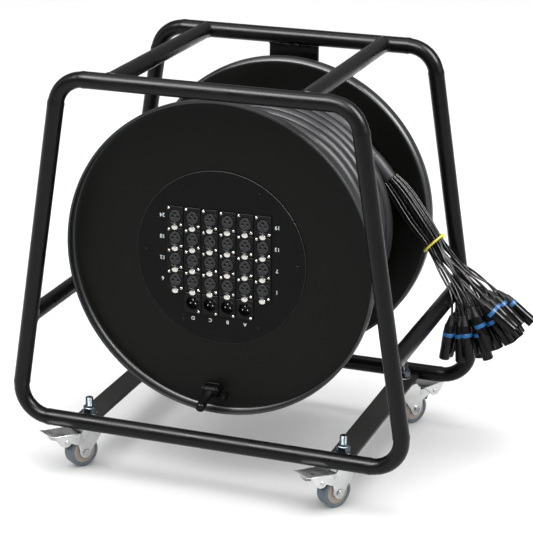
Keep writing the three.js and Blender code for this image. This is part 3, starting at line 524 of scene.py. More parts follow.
def plug_form(red):
    """A cable plug along +Y: ribbed boot, fluted nut, coloured ring, shell, and the insert in its end."""
    form = Form()
    sleeve = [(0, 0), (2.5, 0), (3.1, 0.7)]
    for k in range(4):
        radius = 3.8 + 0.75 * k
        sleeve += [(radius, 2.6 + 3 * k), (radius + 0.35, 3.9 + 3 * k), (radius - 0.2, 4.4 + 3 * k)]
    form.spin([*sleeve, (6.9, 15.2), (7.2, 16), (0, 16)], 24, boot_rubber)
    form.spin([(0, 15), (7.4, 15.4, 0.1), (8.0, 17, 0.7), (8.5, 25.5, 0.7), (8.3, 28.2, 0.1), (0, 28.3)], 72,
              black_plastic)
    form.spin([(0, 28), (8.7, 28), (9.1, 28.5), (9.1, 33.4), (8.7, 33.9), (0, 33.9)], 32,
              ring_red if red else ring_blue)
    shell = [(0, 33.6), (8.6, 33.6), (8.75, 34.2)]
    if red:  # the socket end is closed by an insert with three holes
        shell += [(8.75, 50), (9.0, 51), (9.0, 71.6), (8.3, 73), (7.9, 73), (7.9, 71.5), (0, 71.5)]
        insert = ([(0, 71.4), (7.5, 71.4), (7.5, 72.5), (0, 72.5)], 32)
        # the three holes are black discs of painted shade on the insert
        contact = ([(0, 72.4), (1.3, 72.4), (1.3, 72.62), (0, 72.62)], 12, hole_shade)
    else:
        shell += [(8.75, 51), (8.45, 51.8), (8.45, 71.8), (8.2, 73), (7.6, 73), (7.6, 60), (0, 60)]
        insert = ([(0, 59.8), (7.5, 59.8), (7.5, 60.6), (0, 60.6)], 24)
        contact = ([(0, 60), (1.15, 60), (1.15, 70.3), (0.7, 71), (0, 71)], 10, nickel)
    form.spin(shell, 32, shell_black)
    form.spin(*insert, insert_grey)
    for angle in (90, 210, 330):
        form.spin(*contact, (4.2 * cos(radians(angle)), 0, 4.2 * sin(radians(angle))))
    if red:
        form.add(box((-2.2, 52, 8.2), (2.2, 60, 9.6), 0.5), shell_black)
    return form


def tail_piece(name, points, node):
    data = bpy.data.curves.new(name, "CURVE")
    data.dimensions = "3D"
    data.bevel_depth = TAIL_RADIUS * MM
    data.bevel_resolution = 3
    data.resolution_u = 6
    data.use_fill_caps = True
    line = data.splines.new("BEZIER")
    line.bezier_points.add(len(points) - 1)
    for knot, point in zip(line.bezier_points, points):
        knot.co = point * MM
        knot.handle_left_type = knot.handle_right_type = "AUTO"
    data.materials.append(tail_jacket)
    return dressed(name, data, "frame", "tails", node)


def curve_length(made):
    """The length of a curve's own line, in metres."""
    bare = made.data.copy()
    bare.bevel_depth = 0
    holder = bpy.data.objects.new("measured", bare)
    mesh = bpy.data.meshes.new_from_object(holder)
    points = [v.co[:] for v in mesh.vertices]
    bpy.data.objects.remove(holder)
    bpy.data.meshes.remove(mesh)
    bpy.data.curves.remove(bare)
    return length_of(points)


def plug_line(q):
    """Points down the middle of a plug's wide part."""
    return [q["top"] + q["down"] * reach for reach in np.linspace(15, PLUG_LENGTH, 9)]


def least_distance(a, b):
    return min(np.linalg.norm(p - r) for p in a for r in b)


def over_the_bar(point, rank):
    """Where a tail lies when it may not come nearer to the side bar."""
    away = (point - BAR_AXIS) * (1, 0, 1)
    least = TUBE_RADIUS + 3.2 + 3.3 * rank
    reach = np.linalg.norm(away)
    return point if reach > least else point + away * (least / reach - 1)


# Each plug slips, leans and swings by chance, less at every try, until it clears those hung before it
hung = []
for column in range(6, -1, -1):
    for line in range(4):
        q = plug_place(column, line)
        for attempt in range(PLUG_TRIES):
            calm = 1 - attempt / PLUG_TRIES
            slip, lean, swing = (rng.uniform(low, high) * calm for low, high in ((-15, 2), (-5, 5), (-4, 4)))
            turn = rotation("Y", lean) @ rotation("X", swing)
            moved = dict(q, down=turn @ q["down"], top=q["top"] + q["down"] * slip)
            own = plug_line(moved)
            if all(least_distance(own, plug_line(other)) > 2 * PLUG_RADIUS - 0.6 for other in hung):
                break
        hung.append(moved)

plug_shapes = {red: plug_form(red) for red in (False, True)}
tie_heading, _ = route_frame(TIE_AT, TIE_AT + 1)
tails = []
for level, level_name in ((-1, "lower"), (1, "upper")):
    for row, row_name in ((-1, "front"), (1, "rear")):
        node = f"tails_{level_name}_{row_name}"
        own = [q for q in hung if q["level"] == level and q["row"] == row]
        number = 0
        for i, few in enumerate((own[:2], own[2:5], own[5:])):
            few.sort(key=lambda q: q["layer"])
            for k, q in enumerate(few):
                number += 1
                up, along = 1 - i, k - (len(few) - 1) / 2
                points = []
                for index in range(TIE_AT + 1):
                    point = strand_point(index, level, row, up, along, LOOSE[index])
                    sway = 1.0 if 1 <= index <= 2 else 0.3
                    off = np.array([rng.uniform(-sway, sway) for _ in range(3)])
                    points.append(point + off * (1, 0.5, 1))
                rank = 1.5 + 1.5 * level + up
                start, top, down = points[-1], q["top"], q["down"]
                far = np.linalg.norm(top - start) / 3
                reach = [start, start + tie_heading * far, top - down * far, top]
                for t in (0.17, 0.34, 0.5, 0.67, 0.84, 1.0):
                    weights = ((1 - t) ** 3, 3 * t * (1 - t) ** 2, 3 * t * t * (1 - t), t ** 3)
                    way = sum(w * p for w, p in zip(weights, reach))
                    if t < 0.8:
                        way = way + np.array([rng.uniform(-2.4, 2.4) for _ in range(3)])
                    points.append(over_the_bar(way, rank * (1 - t)) if t < 0.9 else way)
                points += [top + down * 6, top + down * 14]
                name = f"tail_{level_name}_{row_name}_{number}"
                tail = tail_piece(name, points, node)
                red = (q["column"], q["line"]) in RED_PLUGS
                spin = rotation("Y", rng.uniform(0, 360))
                plug = plug_shapes[red].piece("plug" + name[4:], "frame", "tails", node,
                                              turn=aim(down) @ spin, origin=top)
                tails.append((tail, plug, points))

# Tie: a thin loop pulled round the bundle, with its short ends standing off
tangent, normal = route_frame(TIE_AT - 1, TIE_AT + 1)
centre = TAIL_ROUTE[TIE_AT] - normal * 0.6
loop = []
for k in range(48):
    a = 2 * pi * k / 48
    reach = 15.4 + 1.4 * abs(sin(2 * a)) + 0.3 * sin(3 * a)
    loop.append(centre + normal * reach * 1.18 * cos(a) + np.array([0, 1, 0]) * reach * sin(a)
                + tangent * (1.6 * sin(a) - 4.5 * cos(a)))
tie = Form().add(tube(loop, 1.7, 10, closed=True), tie_yellow)
knot = centre + normal * 18.4 - tangent * 4.5 - np.array([0, 1, 0]) * 3
ends = spline([knot + tangent * 4, knot + normal * 1.4, knot - tangent * 4 + normal * 0.4], 1.5)
swell = [1.3 + 0.9 * sin(pi * k / (len(ends) - 1)) for k in range(len(ends))]
tie = tie.add(tube(ends, swell, 8), tie_yellow).stand_in("bundle_tie", "frame", "tie")

for tail, plug, points in tails:
    round(curve_length(tail), 3)


# Frame

LOOP_STEPS = 14
BAR_WELD, STRIP_WELD, PLATE_WELD = 1.2, 1.7, 2.1


def loop_line(y):
    """A loop's middle line, and the tube's radius at each point, which draws in a little round the bends."""
    (xt, zt), (xb, zb) = LOOP_TOP, LOOP_BOTTOM
    corners = [np.array(c, float) for c in ((-xb, y, zb), (xb, y, zb), (xt, y, zt), (-xt, y, zt))]
    line, pinch = [], []
    for before, corner, after in zip([corners[-1], *corners], corners, [*corners[1:], corners[0]]):
        back, ahead = unit(before - corner), unit(after - corner)
        half = acos(back.dot(ahead)) / 2
        run = BEND_RADIUS / tan(half)
        middle = corner + unit(back + ahead) * BEND_RADIUS / sin(half)
        start, end = (corner + d * run - middle for d in (back, ahead))
        sweep = pi - 2 * half
        line.append(corner + back * (run + 6))
        for i in range(LOOP_STEPS + 1):
            turn = sweep * i / LOOP_STEPS
            line.append(middle + start * sin(sweep - turn) / sin(sweep)
                        + end * sin(turn) / sin(sweep))
        line.append(corner + ahead * (run + 6))
        pinch += [1.0, 1.03, *[0.95] * (LOOP_STEPS - 1), 1.03, 1.0]
    return line, [TUBE_RADIUS * p for p in pinch]


def bead(points, radius):
    """A weld: a thin rippled line."""
    line = spline(points, 1.6)
    swell = [radius * (1 + 0.16 * sin(2.2 * i) + 0.1 * rng.uniform(-1, 1)) for i in range(len(line))]
    return tube(line, swell, 8)


def bar_weld(x, z, y, inward, along):
    """The weld where a bar meets a loop tube that runs along a direction in X and Z."""
    t = unit(np.array([along[0], 0, along[1]], float))
    n = np.array([-t[2], 0, t[0]])
    points = []
    for k in range(49):
        a = 2 * pi * k / 48
        off = n * cos(a) + t * sin(a)
        rise = inward * (2 + 0.93 * TUBE_RADIUS * abs(sin(a)))
        points.append(np.array([x, y + rise, z]) + off * (TUBE_RADIUS - 0.2))
    return bead(points, BAR_WELD)


leg = (LOOP_TOP[0] - LOOP_BOTTOM[0], LOOP_TOP[1] - LOOP_BOTTOM[1])
for way, name in ((-1, "front"), (1, "rear")):
    y = way * LOOP_HALF_SPACING
    line, radii = loop_line(y)
    form = Form().add(tube(line, radii, 32, closed=True), powder)
    for side in (-1, 1):
        form.add(bar_weld(side * TOP_BAR_X, LOOP_TOP[1], y, -way, (1, 0)), powder)
        form.add(bar_weld(side * SIDE_BAR[0], SIDE_BAR[1], y, -way, (side * leg[0], leg[1])), powder)
        edge = y - way * (TUBE_RADIUS - 0.1)
        weld = [(side * STRIP["x"] + k * STRIP["half"] / 6, edge, STRIP["high"] + 0.4) for k in range(-6, 7)]
        form.add(bead(weld, STRIP_WELD), powder)
    if name == "rear":
        for z in (LOOP_TOP[1] - TUBE_RADIUS + 0.6, LOOP_BOTTOM[1] + TUBE_RADIUS - 0.6):
            weld = [(k * PLATE["half"] / 12, PLATE["front"] - 0.6 + 0.4 * sin(k * 5), z)
                    for k in range(-12, 13)]
            form.add(bead(weld, PLATE_WELD), powder)
    form.stand_in(name + "_loop", "frame", "frame_coating")

for side, name in ((-1, "left"), (1, "right")):
    for (x, z), bar in (((TOP_BAR_X, LOOP_TOP[1]), "top_bar_"), (SIDE_BAR, "side_bar_")):
        line = [(side * x, y, z) for y in np.linspace(-LOOP_HALF_SPACING, LOOP_HALF_SPACING, 9)]
        Form().add(tube(line, TUBE_RADIUS, 32), powder).stand_in(bar + name, "frame", "frame_coating")
    x, half, reach = side * STRIP["x"], STRIP["half"], STRIP["reach"]
    outline = rounded(rectangle(x - half, -reach, x + half, reach), 1, 2)
    bores = [circle(x, end * CASTER_Y, 6.4, 32) for end in (-1, 1)]
    points, faces = prism(outline, -STRIP["high"], -STRIP["low"], 0.7, bores)
    lying = (points[:, [0, 2, 1]] * (1, 1, -1), faces)
    # the strips take the lighter copy of the frame's coat, painted light on their tops
    Form().add(lying, strip_painted_light).stand_in("caster_strip_" + name, "frame", "frame_coating")

half = PLATE["half"]
outline = rounded(rectangle(-half, LOOP_BOTTOM[1] + 8, half, LOOP_TOP[1] - 8), 1, 2)
plate = prism(outline, PLATE["front"], PLATE["rear"], 0.7, [circle(0, AXIS_HEIGHT, AXLE_BORE, 40)])
Form().add(plate, powder).stand_in("axle_plate", "frame", "frame_coating")


# Axle, hub and nuts

HUB_FRONT, HUB_REAR = 17, 169
AXLE_REAR = 210.3
AXLE_SHOULDER = 19
COLLAR_REAR = PLATE["front"] - SEAT_GAP
COLLAR_FRONT = COLLAR_REAR - 14
WASHER_DEPTH, NUT_DEPTH = 2.5, 12
BEARING_DEPTH = 15

shaft = [(0, 5), (7, 5), (8, 6), (8, AXLE_SHOULDER), (12, AXLE_SHOULDER), (12.5, AXLE_SHOULDER + 0.6),
         (12.5, COLLAR_FRONT), (21, COLLAR_FRONT), (22, COLLAR_FRONT + 1), (22, COLLAR_REAR - 1),
         (21, COLLAR_REAR), (10, COLLAR_REAR), (10, AXLE_REAR - 1.8), (9, AXLE_REAR), (0, AXLE_REAR)]
form = Form().spin(shaft, 48, steel, AXLE)
form.add(threaded(10, 194, AXLE_REAR), zinc, AXLE).stand_in("stub_axle", "frame", "bare_steel")

for name, bore, face, way in (("rear", AXLE_BORE, PLATE["rear"] + SEAT_GAP, 1),
                              ("front", 8.3, AXLE_SHOULDER - SEAT_GAP, -1)):
    seat = face + way * WASHER_DEPTH
    washer, nut = sorted((face, seat)), sorted((seat, seat + way * NUT_DEPTH))
    form = Form().add(prism(circle(0, 0, 19, 48), *washer, 0.5, [circle(0, 0, bore, 32)]), zinc, AXLE)
    form.add(hexagon(30, *nut, bore), zinc, AXLE).stand_in("axle_nut_" + name, "frame", "zinc")

hub = [(26.3, HUB_FRONT), (30, HUB_FRONT), (31, HUB_FRONT + 1),
       (31, HUB_REAR - 1), (30, HUB_REAR), (26.3, HUB_REAR)]
Form().add(ring_of(hub, 64), powder, AXLE).stand_in("hub_tube", "drum", "drum_coating")
for name, low in (("rear", COLLAR_FRONT - 0.4 - BEARING_DEPTH), ("front", AXLE_SHOULDER + 0.4)):
    high = low + BEARING_DEPTH
    form = Form()
    for inner, outer in ((12.9, 16.5), (22.4, 26)):
        race = [(inner, low), (outer - 0.6, low), (outer, low + 0.6),
                (outer, high - 0.6), (outer - 0.6, high), (inner, high)]
        form.add(ring_of(race, 48), steel, AXLE)
    form.add(ring_of(rectangle(16.5, low + 1, 22.4, high - 1), 48), black_plastic, AXLE)
    form.stand_in("bearing_" + name, "drum", "bare_steel")


# Drum: flanges, barrel, winding

# how far in from the rim and out from the face
LIP = ((0, 18.5), (0.6, 19.7), (2, 20), (3.4, 19.4), (3.9, 18), (3.6, 16.5))
CORE_BORE = 112.6
TURN_POINTS = 72
WINDING_ENDS = ((20, 27), (14, 17), (7, 6))  # degrees past either end, and how far below the layer


def flange_outline(hole, face, way):
    """A flat sheet whose rim is turned over and ends in a rolled lip."""
    rim = FLANGE_RADIUS
    flat = np.linspace(hole + 2, rim - 20, 4)

    def bend(radius, low, high):
        return [(rim - 9 + radius * sin(a), face + way * (9 - radius * cos(a)))
                for a in np.radians(np.linspace(low, high, 8))]
    outer = [(hole, face), *((r, face) for r in flat), *bend(9, 0, 90)]
    inner = [*bend(7, 90, 0), *((r, face + way * 2) for r in flat[::-1]), (hole, face + way * 2)]
    return [*outer, *((rim - back, face + way * out) for back, out in LIP), *inner]


for name, hole, face, way in (("front", 109.5, FRONT_FACE, -1), ("rear", 31.3, REAR_FACE, 1)):
    form = Form().add(ring_of(flange_outline(hole, face, way), 192), sheet, AXLE)
    # the rolled lip gets the lighter copy of the coat, painted light where the floor's bounce falls
    form.refinish(lip_painted_bounce, lambda x, y, z: hypot(x, z - AXIS_HEIGHT) > FLANGE_RADIUS - 5)
    form.stand_in(name + "_flange", "drum", "drum_coating")

scallops = [(CORE_BORE, FRONT_FACE + SEAT_GAP)]
middle = WINDING_START - TURN_PITCH / 2
while middle < REAR_FACE:
    for a in np.radians(np.linspace(-75, 75, 9)):
        y = middle + CABLE_RADIUS * sin(a)
        if FRONT_FACE + SEAT_GAP < y < REAR_FACE - SEAT_GAP:
            scallops.append((CORE_RADIUS - CABLE_RADIUS + CABLE_RADIUS * cos(a), y))
    middle += TURN_PITCH
scallops.append((CORE_BORE, REAR_FACE - SEAT_GAP))
Form().add(ring_of(scallops, 160), jacket, AXLE).stand_in("cable_core", "drum", "cable_jacket")


def turns_across(turns):
    """Each turn crosses to its next place first and then lies square to the axle."""
    crossed = min(turns % 1 / CROSSING_SHARE, 1)
    return int(turns) + crossed * crossed * (3 - 2 * crossed)


def winding_end(side, y, ends):
    return [on_circle(WINDING_RADIUS - drop, WINDING_ANGLE + side * turn, y) for turn, drop in ends]


winding = winding_end(1, WINDING_START, WINDING_ENDS)
for i in range(TURN_POINTS * TURNS + 1):
    turns = i / TURN_POINTS
    sway = 0.32 * sin(i * 0.11) + 0.18 * sin(i * 0.043 + 1)
    lift = 0.5 * sin(i * 0.071) + 0.35 * sin(i * 0.19 + 2)
    # the last turn swells towards the rear flange where nothing holds it
    swell = sin(pi * min(max((turns - TURNS + 0.47) / 0.42, 0), 1)) ** 2
    winding.append(on_circle(WINDING_RADIUS + lift + 4 * swell, WINDING_ANGLE - 360 * turns,
                             WINDING_START + TURN_PITCH * turns_across(turns) + sway + 13 * swell))
winding += winding_end(-1, WINDING_START + TURN_PITCH * TURNS, WINDING_ENDS[::-1])
Form().add(tube(winding, CABLE_RADIUS, 20), jacket).stand_in("cable_outer_layer", "drum", "cable_jacket")

for node in ("barrel", "hub_bulkhead"):
    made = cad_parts[node]
    made.data.materials.clear()
    made.data.materials.append(sheet)


# Connector panel

GRID = (-2.4, 7.8)
PITCH = (27.5, 32.9)
ROWS, COLUMNS = 4, 6
RETURNS = (1, 2, 3, 4)  # the columns under which the three-pin connectors stand
CELL = (13, 15.5)  # half a plate's width and height
SCREW_CIRCLE = 119
NUMBERS = dict(left=20.5, right=21.9, size=8.2)
LETTERS = dict(below=23.7, size=7.6)
TAB_FRONT = PLATE_FRONT - 1.5
TAB_BACK = PANEL_BACK + 1.9


def column_x(column):
    return GRID[0] + (column - 2.5) * PITCH[0]


def row_z(row):
    return GRID[1] + (1.5 - row) * PITCH[1] + AXIS_HEIGHT


sockets = [(column_x(c), row_z(r)) for r in range(ROWS) for c in range(COLUMNS)]
returns = [(column_x(c), row_z(ROWS)) for c in RETURNS]
disc = prism(circle(0, AXIS_HEIGHT, PANEL_RADIUS, 180), PANEL_FRONT, PANEL_BACK, 0.5,
             [circle(x, z, 11.2, 28) for x, z in sockets + returns])
# a thin lighter band wraps the panel's rounded front edge
rim = [(PANEL_RADIUS - back, PANEL_FRONT + y)
       for back, y in ((0.9, 0.1), (0.3, 0.1), (-0.1, 0.6), (0.6, 0.9))]
panel = Form().add(disc, panel_black).add(ring_of(rim, 180), rim_edge_band, AXLE)
panel.piece("panel_disc", "drum", "panel", "connector_panel")

heads = Form()
for k in range(6):
    heads.spin([(0, 0), (3, 0), (3, -0.5), (2.4, -1.2), (1.5, -1.4), (1.3, -0.7), (0, -0.7)], 24,
               black_plastic, on_circle(SCREW_CIRCLE, 60 * k, PANEL_FRONT))
heads.piece("panel_screws", "drum", "panel", "connector_panel")


def add_screw(form, x, z):
    """A small bright pan head with a cross recess, drawn as a black cross of painted shade, in a plate's
    front.
    """
    place = (x, PLATE_FRONT, z), rotation("Y", rng.uniform(0, 90))
    form.spin([(0, 0.2), (2.0, 0.2), (2.0, -0.3), (1.6, -0.85), (1.0, -1.1), (0, -1.1)], 20, nickel, *place)
    for wide, high in ((1.2, 0.26), (0.26, 1.2)):
        form.add(box((-wide, -1.16, -high), (wide, -1.0, high), 0.05), hole_shade, *place)


def front_plate(x, z, hole):
    wide, high = CELL
    outline = rounded(rectangle(x - wide, z - high, x + wide, z + high), 1.2, 3)
    return prism(outline, PLATE_FRONT, PANEL_FRONT + 0.05, 0.35, [circle(x, z, hole, 32)])


dome = [(0, TAB_FRONT), (2.2, TAB_FRONT + 0.03), (3.8, TAB_FRONT + 0.12), (4.7, TAB_FRONT + 0.4),
        (5.2, TAB_FRONT + 1.1), (5.2, TAB_BACK + 0.1), (0, TAB_BACK + 0.1)]
for row in range(ROWS):
    form = Form()
    z = row_z(row)
    for x in map(column_x, range(COLUMNS)):
        place = (x, PLATE_FRONT, z)
        form.add(front_plate(x, z, 11), black_plastic)
        # the bezel, its recess lined with painted shade, and the insert with three holes
        form.add(ring_of([(10.6, 0.2), (11.3, -0.35), (12.2, -0.35), (12.6, 0.2)], 40), black_plastic, place)
        form.spin([(0, 3.1), (11, 3.1), (11, 0.2), (11.3, 0.2), (11.3, 4), (0, 4)], 40, hole_shade, place)
        holes = [circle(x + dx, z + dz, 1.75, 14) for dx, dz in ((0, 4.3), (-4.0, -0.5), (4.1, -0.5))]
        form.add(prism(circle(x, z, 9.3, 40), PLATE_FRONT + 0.35, PLATE_FRONT + 3.2, 0.5, holes), insert_grey)
        key = box((x - 1.1, PLATE_FRONT + 0.3, z - 10.9), (x + 1.1, PLATE_FRONT + 2.8, z - 9), 0.2)
        form.add(key, insert_grey)
        for dx, dz in ((-9.6, 12.3), (9.6, -12.3)):
            add_screw(form, x + dx, z + dz)
    form.piece(f"sockets_row_{row + 1}", "drum", "black_plastic", "connector_panel")

    z -= PITCH[1] / 2
    bar = box((column_x(0) - 5.5, TAB_BACK, z - 4.4), (column_x(5) + 5.5, TAB_BACK + 2, z + 4.4), 0.3)
    tabs = Form().add(bar, black_plastic)
    for column in range(COLUMNS):
        tabs.spin(dome, 36, nickel, (column_x(column), 0, z), scale=(1, 1, 0.8))
    tabs.stand_in(f"latch_tabs_row_{row + 1}", f"latch_row_{row + 1}", "zinc")

form = Form()
for x, z in returns:
    place = (x, PLATE_FRONT, z)
    form.add(front_plate(x, z, 9.8), black_plastic)
    form.add(ring_of([(9.6, 0.3), (10.0, -0.7), (11.3, -0.7), (12.0, 0.2)], 40), black_plastic, place)
    form.spin([(0, 9), (9.6, 9), (9.6, 0.2), (11, 2.4), (11, 11), (0, 11)], 40, black_plastic, place)
    for dx, dz in ((0, 4.6), (-3.9, -0.9), (3.9, -0.9)):
        form.spin([(0, 9.1), (1.2, 9.1), (1.2, 2.7), (0.8, 2.1), (0, 2)], 14, nickel,
                  (x + dx, PLATE_FRONT, z + dz))
    add_screw(form, x + 9.4, z - 12.9)
form.piece("return_sockets", "drum", "black_plastic", "connector_panel")


def label(text, x, z, size):
    """A channel mark on the panel, which stands on its head."""
    name = "label_" + text
    data = bpy.data.curves.new(name, "FONT")
    data.body = text
    data.size = size * MM
    data.align_x, data.align_y = "CENTER", "CENTER"
    data.extrude = 0.04 * MM
    data.offset = 0.09 * MM
    holder = bpy.data.objects.new("text", data)
    mesh = bpy.data.meshes.new_from_object(holder)
    bpy.data.objects.remove(holder)
    mesh.name = name
    turn = Matrix.Rotation(pi, 4, "Y") @ Matrix.Rotation(pi / 2, 4, "X")
    mesh.transform(Matrix.Translation(Vector((x, PANEL_FRONT - 0.05, z)) * MM) @ turn)
    mesh.materials.clear()
    mesh.materials.append(white_print)
    dressed(name, mesh, "drum", "panel")


for row, (left, right) in enumerate((("24", "19"), ("18", "13"), ("12", "7"), ("6", "1"))):
    label(left, column_x(0) - NUMBERS["left"], row_z(row), NUMBERS["size"])
    label(right, column_x(5) + NUMBERS["right"], row_z(row), NUMBERS["size"])
for column, letter in zip(RETURNS, "DCBA"):
    label(letter, column_x(column), row_z(ROWS) - LETTERS["below"], LETTERS["size"])


# Crank, made about its place on the flange

CRANK = (-12, -127, AXIS_HEIGHT - 206)
PIN = (0, -12, 0)
EAR_AT = 10.5
droop = rotation("X", 15)
across = rotation("Z", -90)

form = Form().add(prism(rounded(rectangle(-12, -13, 12, 8), 5, 5), -3.3, -0.3, 0.6), crank_coat)
lug = prism(rounded([(0, -16.5), (18, -16.5), (22, -12), (18, -7.5), (0, -7.5)], 3, 4), -3.3, -0.3, 0.5)
form.add(lug, crank_coat)
form.spin([(0, -0.3), (4.5, -0.3), (4.5, -10.8), (3.6, -12.1), (0, -12.3)], 28, crank_coat, (18, 0, -12))
outline = rounded([(-6.5, 0.3), (6.5, 0.3), (6.5, 14), (3.5, 18), (-3.5, 18), (-6.5, 14)], 4, 5)
for side in (-1, 1):
    points, faces = prism(outline, -1.5, 1.5, 0.5)
    ear = np.stack([points[:, 1] + side * EAR_AT, -points[:, 2], points[:, 0]], 1)
    form.add((ear, faces), crank_coat)
    weld = [(side * (EAR_AT + 1.7), -3.6, z) for z in np.linspace(-6, 6, 7)]
    form.add(bead(weld, 1.1), crank_coat)
form.stand_in("crank_bracket", "drum", "drum_coating", origin=CRANK)

pin = [(0, -13.8), (3.6, -13.8), (4.5, -13), (4.5, -12.3), (3, -12.3), (3, 12.3), (4.5, 12.3), (4.5, 13),
       (3.6, 13.8), (0, 13.8)]
Form().spin(pin, 28, crank_coat, PIN, across).stand_in("crank_pin", "drum", "bare_steel", origin=CRANK)

eye = ring_of([(3.3, -8.6), (5.9, -8.6), (6.5, -8), (6.5, 8), (5.9, 8.6), (3.3, 8.6)], 32)
arm = Form().add(eye, crank_coat, PIN, droop @ across)
arm.spin([(0, -44.6), (3, -44.6), (3, -7.5), (4, -6), (0, -5)], 20, crank_coat, PIN, droop)
arm.stand_in("crank_arm", "crank", "drum_coating", origin=CRANK)

grip = [(3.4, -8), (6.4, -8), (7.3, -9), (7.3, -11), (6.9, -12), (6.7, -30), (7.0, -40), (7.5, -44)]
grip += [(7.5 * cos(a), -44 - 6 * sin(a)) for a in np.linspace(0.15, pi / 2, 9)[:-1]]
grip += [(0, -50), (0, -45), (3.4, -45), (3.4, -8)]
Form().spin(grip, 40, black_plastic, PIN, droop).stand_in("crank_grip", "grip", "black_plastic", origin=CRANK)


# Casters, each made about its own swivel axis: x is the way that the wheel trails, y is along its axle

RACE_TOP = STRIP["low"] - SEAT_GAP
CROWN_TOP = RACE_TOP - 3.5 - SEAT_GAP
CROWN_LOW = CROWN_TOP - 3
FORK_IN, FORK_OUT = 12.2, 14.7
PEDAL_IN, PEDAL_OUT = 15.4, 17.4
PIVOT = (52, 50)
RIVET = (27, 54)
HUB = (CASTER_TRAIL, 0, WHEEL_RADIUS)
upright = rotation("X", 90)


def arc(x, z, radius, low, high, count):
    return [(x + radius * cos(a), z + radius * sin(a)) for a in np.linspace(low, high, count)]


def stem_form():
    washer = STRIP["high"] + SEAT_GAP
    low = CROWN_LOW - SEAT_GAP
    race = [(0, RACE_TOP), (15, RACE_TOP), (18, RACE_TOP - 0.8), (19, RACE_TOP - 2), (19, RACE_TOP - 3.5),
            (0, RACE_TOP - 3.5)]
    form = Form()
    # the threaded stem, the nut and the stem's cap take the zinc's darker copy of painted shade
    for shape, material in (
            (threaded(6, STRIP["low"] - 12, STRIP["high"] + 28), zinc_blue_painted_shade),
            (prism(circle(0, 0, 11.5, 40), washer, washer + 2, 0.5, [circle(0, 0, 5, 20)]), zinc),
            (hexagon(19, washer + 2, washer + 12.5, 5), zinc_blue_painted_shade),
            (turned([(6, 90.8), (8.4, 91), (8.0, 93.2), (6.2, 94), (5.2, 93.6)], 32), zinc_blue_painted_shade),
            (turned(race, 56), zinc),
            (turned([(0, low), (10, low), (10, low - 2), (8.6, low - 3.5), (0, low - 3.5)], 32), zinc)):
        form.add(shape, material, turn=upright)
    return form


def cheek_outline():
    return [(-17, CROWN_TOP - 1.5), (-11.9, PIVOT[1]), (CASTER_TRAIL - 9, WHEEL_RADIUS),
            *arc(CASTER_TRAIL, WHEEL_RADIUS, 9, pi, 2 * pi, 16),
            (CASTER_TRAIL + 12.6, WHEEL_RADIUS + 14.4), (PIVOT[0] - 7, PIVOT[1] - 4.2),
            *arc(*PIVOT, 7, -2.3, pi / 2, 12), (25.5, PIVOT[1] + 7), (17, CROWN_TOP - 1.5)]


def fork_form():
    crown = rounded(rectangle(-FORK_OUT, CROWN_LOW - 1, FORK_OUT, CROWN_TOP), 2.4, 5)
    form = Form().add(prism(crown, -17, 17, 0.8), zinc_dull, turn=across)
    holes = [circle(*PIVOT, 2.9, 20), circle(*RIVET, 2.2, 20)]
    for side in (-1, 1):
        low, high = sorted((side * FORK_IN, side * FORK_OUT))
        form.add(prism(cheek_outline(), low, high, 0.5, holes), zinc_dull)
        cap = [(r, side * (FORK_OUT + out)) for r, out in (
            (0, -0.4), (4.2, -0.4), (4.2, 0.4), (3.2, 0.65), (0, 0.65))]
        form.spin(cap, 24, zinc, (RIVET[0], 0, RIVET[1]))
    return form


def axle_form():
    seat = FORK_OUT + SEAT_GAP
    tip = seat + 3
    form = Form().spin(rectangle(0, -tip, 4, tip), 24, zinc, HUB)
    form.add(hexagon(11.2, seat, tip), zinc, HUB).add(hexagon(11.2, -tip, -seat), zinc, HUB)
    return form.spin([(0, tip - 0.4), (3.6, tip - 0.4), (3.2, tip + 0.1), (0, tip + 0.1)], 24, zinc, HUB)


def wheel_form():
    r, h = WHEEL_RADIUS, 11
    tread = [(18.6, h - 1.2), (19.6, h - 0.2), (21.6, h), (23.4, h - 0.9), (r - 0.25, h - 2.6), (r, h - 5)]
    core = [(8.5, h - 2.2), (10, h - 1.3), (17.6, h - 1.3), (18.8, h - 2)]
    bush = [(4.4, h), (7.6, h), (8.6, h - 1)]
    form = Form()
    for half, middle, sides, material in (
            (tread, [(r, 0)], 64, tyre), (core, [], 64, wheel_core), (bush, [], 40, steel)):
        form.add(ring_of([*((a, -b) for a, b in half), *middle, *half[::-1]], sides), material, HUB)
    return form


def pedal_form():
    tread = rounded([(30, 60), (71, 63.9), (79.5, 66.4), (79.5, 64.6), (71.4, 62.1), (30, 58)], 0.8, 3)
    form = Form().add(prism(tread, -PEDAL_OUT, PEDAL_OUT, 0.6), zinc_dull)
    cheek = rounded([(30, 60), (72, 64), (73, 61.5), (62, 46.5), (56, 42.6), (48.5, 42.6), (37, 53.5)], 2, 4)
    for low, high in ((-PEDAL_OUT, -PEDAL_IN), (PEDAL_IN, PEDAL_OUT)):
        form.add(prism(cheek, low, high, 0.45), zinc_dull)
    shoe = arc(CASTER_TRAIL, WHEEL_RADIUS, WHEEL_RADIUS + 3.4, radians(32), radians(17), 4)
    form.add(prism(rounded([*shoe, (52, 47.5), (52, 60), (45, 60)], 0.8, 2), -7, 7, 0.4), black_plastic)
    tip = PEDAL_OUT + 1.5
    end = [(2.5, PEDAL_OUT), (3.4, PEDAL_OUT), (3.4, tip - 0.6), (2.6, tip), (0, tip)]
    pin = [*((r, -y) for r, y in end[::-1]), *end]
    return form.spin(pin, 24, zinc, (PIVOT[0], 0, PIVOT[1]))


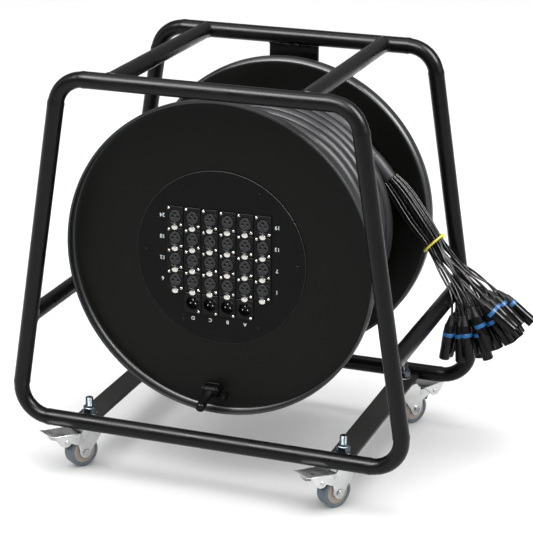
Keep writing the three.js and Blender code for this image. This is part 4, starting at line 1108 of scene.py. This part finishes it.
caster = (("stem", stem_form(), "frame", "zinc"), ("fork", fork_form(), "fork{}", "zinc"),
          ("axle", axle_form(), "fork{}", "zinc"), ("wheel", wheel_form(), "wheel{}", "tyre"),
          ("pedal", pedal_form(), "pedal{}", "zinc"))
for end, end_name in ((-1, "front"), (1, "rear")):
    for side, side_name in ((-1, "left"), (1, "right")):
        corner = f"_{end_name}_{side_name}"
        turn = rotation("Z", CASTER_TURN + (180 if end > 0 else 0))
        origin = (side * STRIP["x"], end * CASTER_Y, 0)
        for kind, form, body, slot in caster:
            form.stand_in(f"caster_{kind}{corner}", body.format(corner), slot, turn=turn, origin=origin)


# Floor and light, in metres

floor_mesh = bpy.data.meshes.new("floor")
floor_mesh.from_pydata([(-9, -9, 0), (9, -9, 0), (9, 9, 0), (-9, 9, 0)], [], [(0, 1, 2, 3)])
floor_mesh.materials.append(pale_floor)
floor = in_scene("floor", floor_mesh)
floor.location.z = -0.0005


def area_light(name, place, target, size, power, gloss_only=False):
    data = bpy.data.lights.new(name, "AREA")
    data.shape = "RECTANGLE"
    data.size, data.size_y = size
    data.energy = power
    light = in_scene(name, data)
    light.location = place
    light.rotation_euler = (Vector(target) - Vector(place)).to_track_quat("-Z", "Y").to_euler()
    light.visible_diffuse = not gloss_only


area_light("top", (0, -0.3, 3.2), (0, 0, 0.3), (3.0, 2.8), 70)
area_light("bright_panel", (-0.6, -1.8, 2.7), (0, 0, 0.35), (2.6, 1.2), 310, gloss_only=True)
area_light("corner_panel", (2.2, -0.4, 2.5), (0.1, 0, 0.4), (1.2, 2.0), 280, gloss_only=True)
area_light("left", (-2.6, -0.6, 1.3), (0, 0, 0.35), (0.8, 2.2), 7)
area_light("right", (2.8, 0.4, 1.6), (0, 0, 0.35), (0.9, 1.8), 12)

sky = bpy.data.lights.new("sky", "SUN")
sky.energy = 2.3
sky.angle = radians(170)
in_scene("sky", sky).visible_glossy = False

world = bpy.data.worlds.new("world")
world.use_nodes = True
background = world.node_tree.nodes["Background"].inputs
background["Color"].default_value = (1, 1, 1, 1)
background["Strength"].default_value = 0.3
scene.world = world
scene.view_settings.view_transform = "Standard"
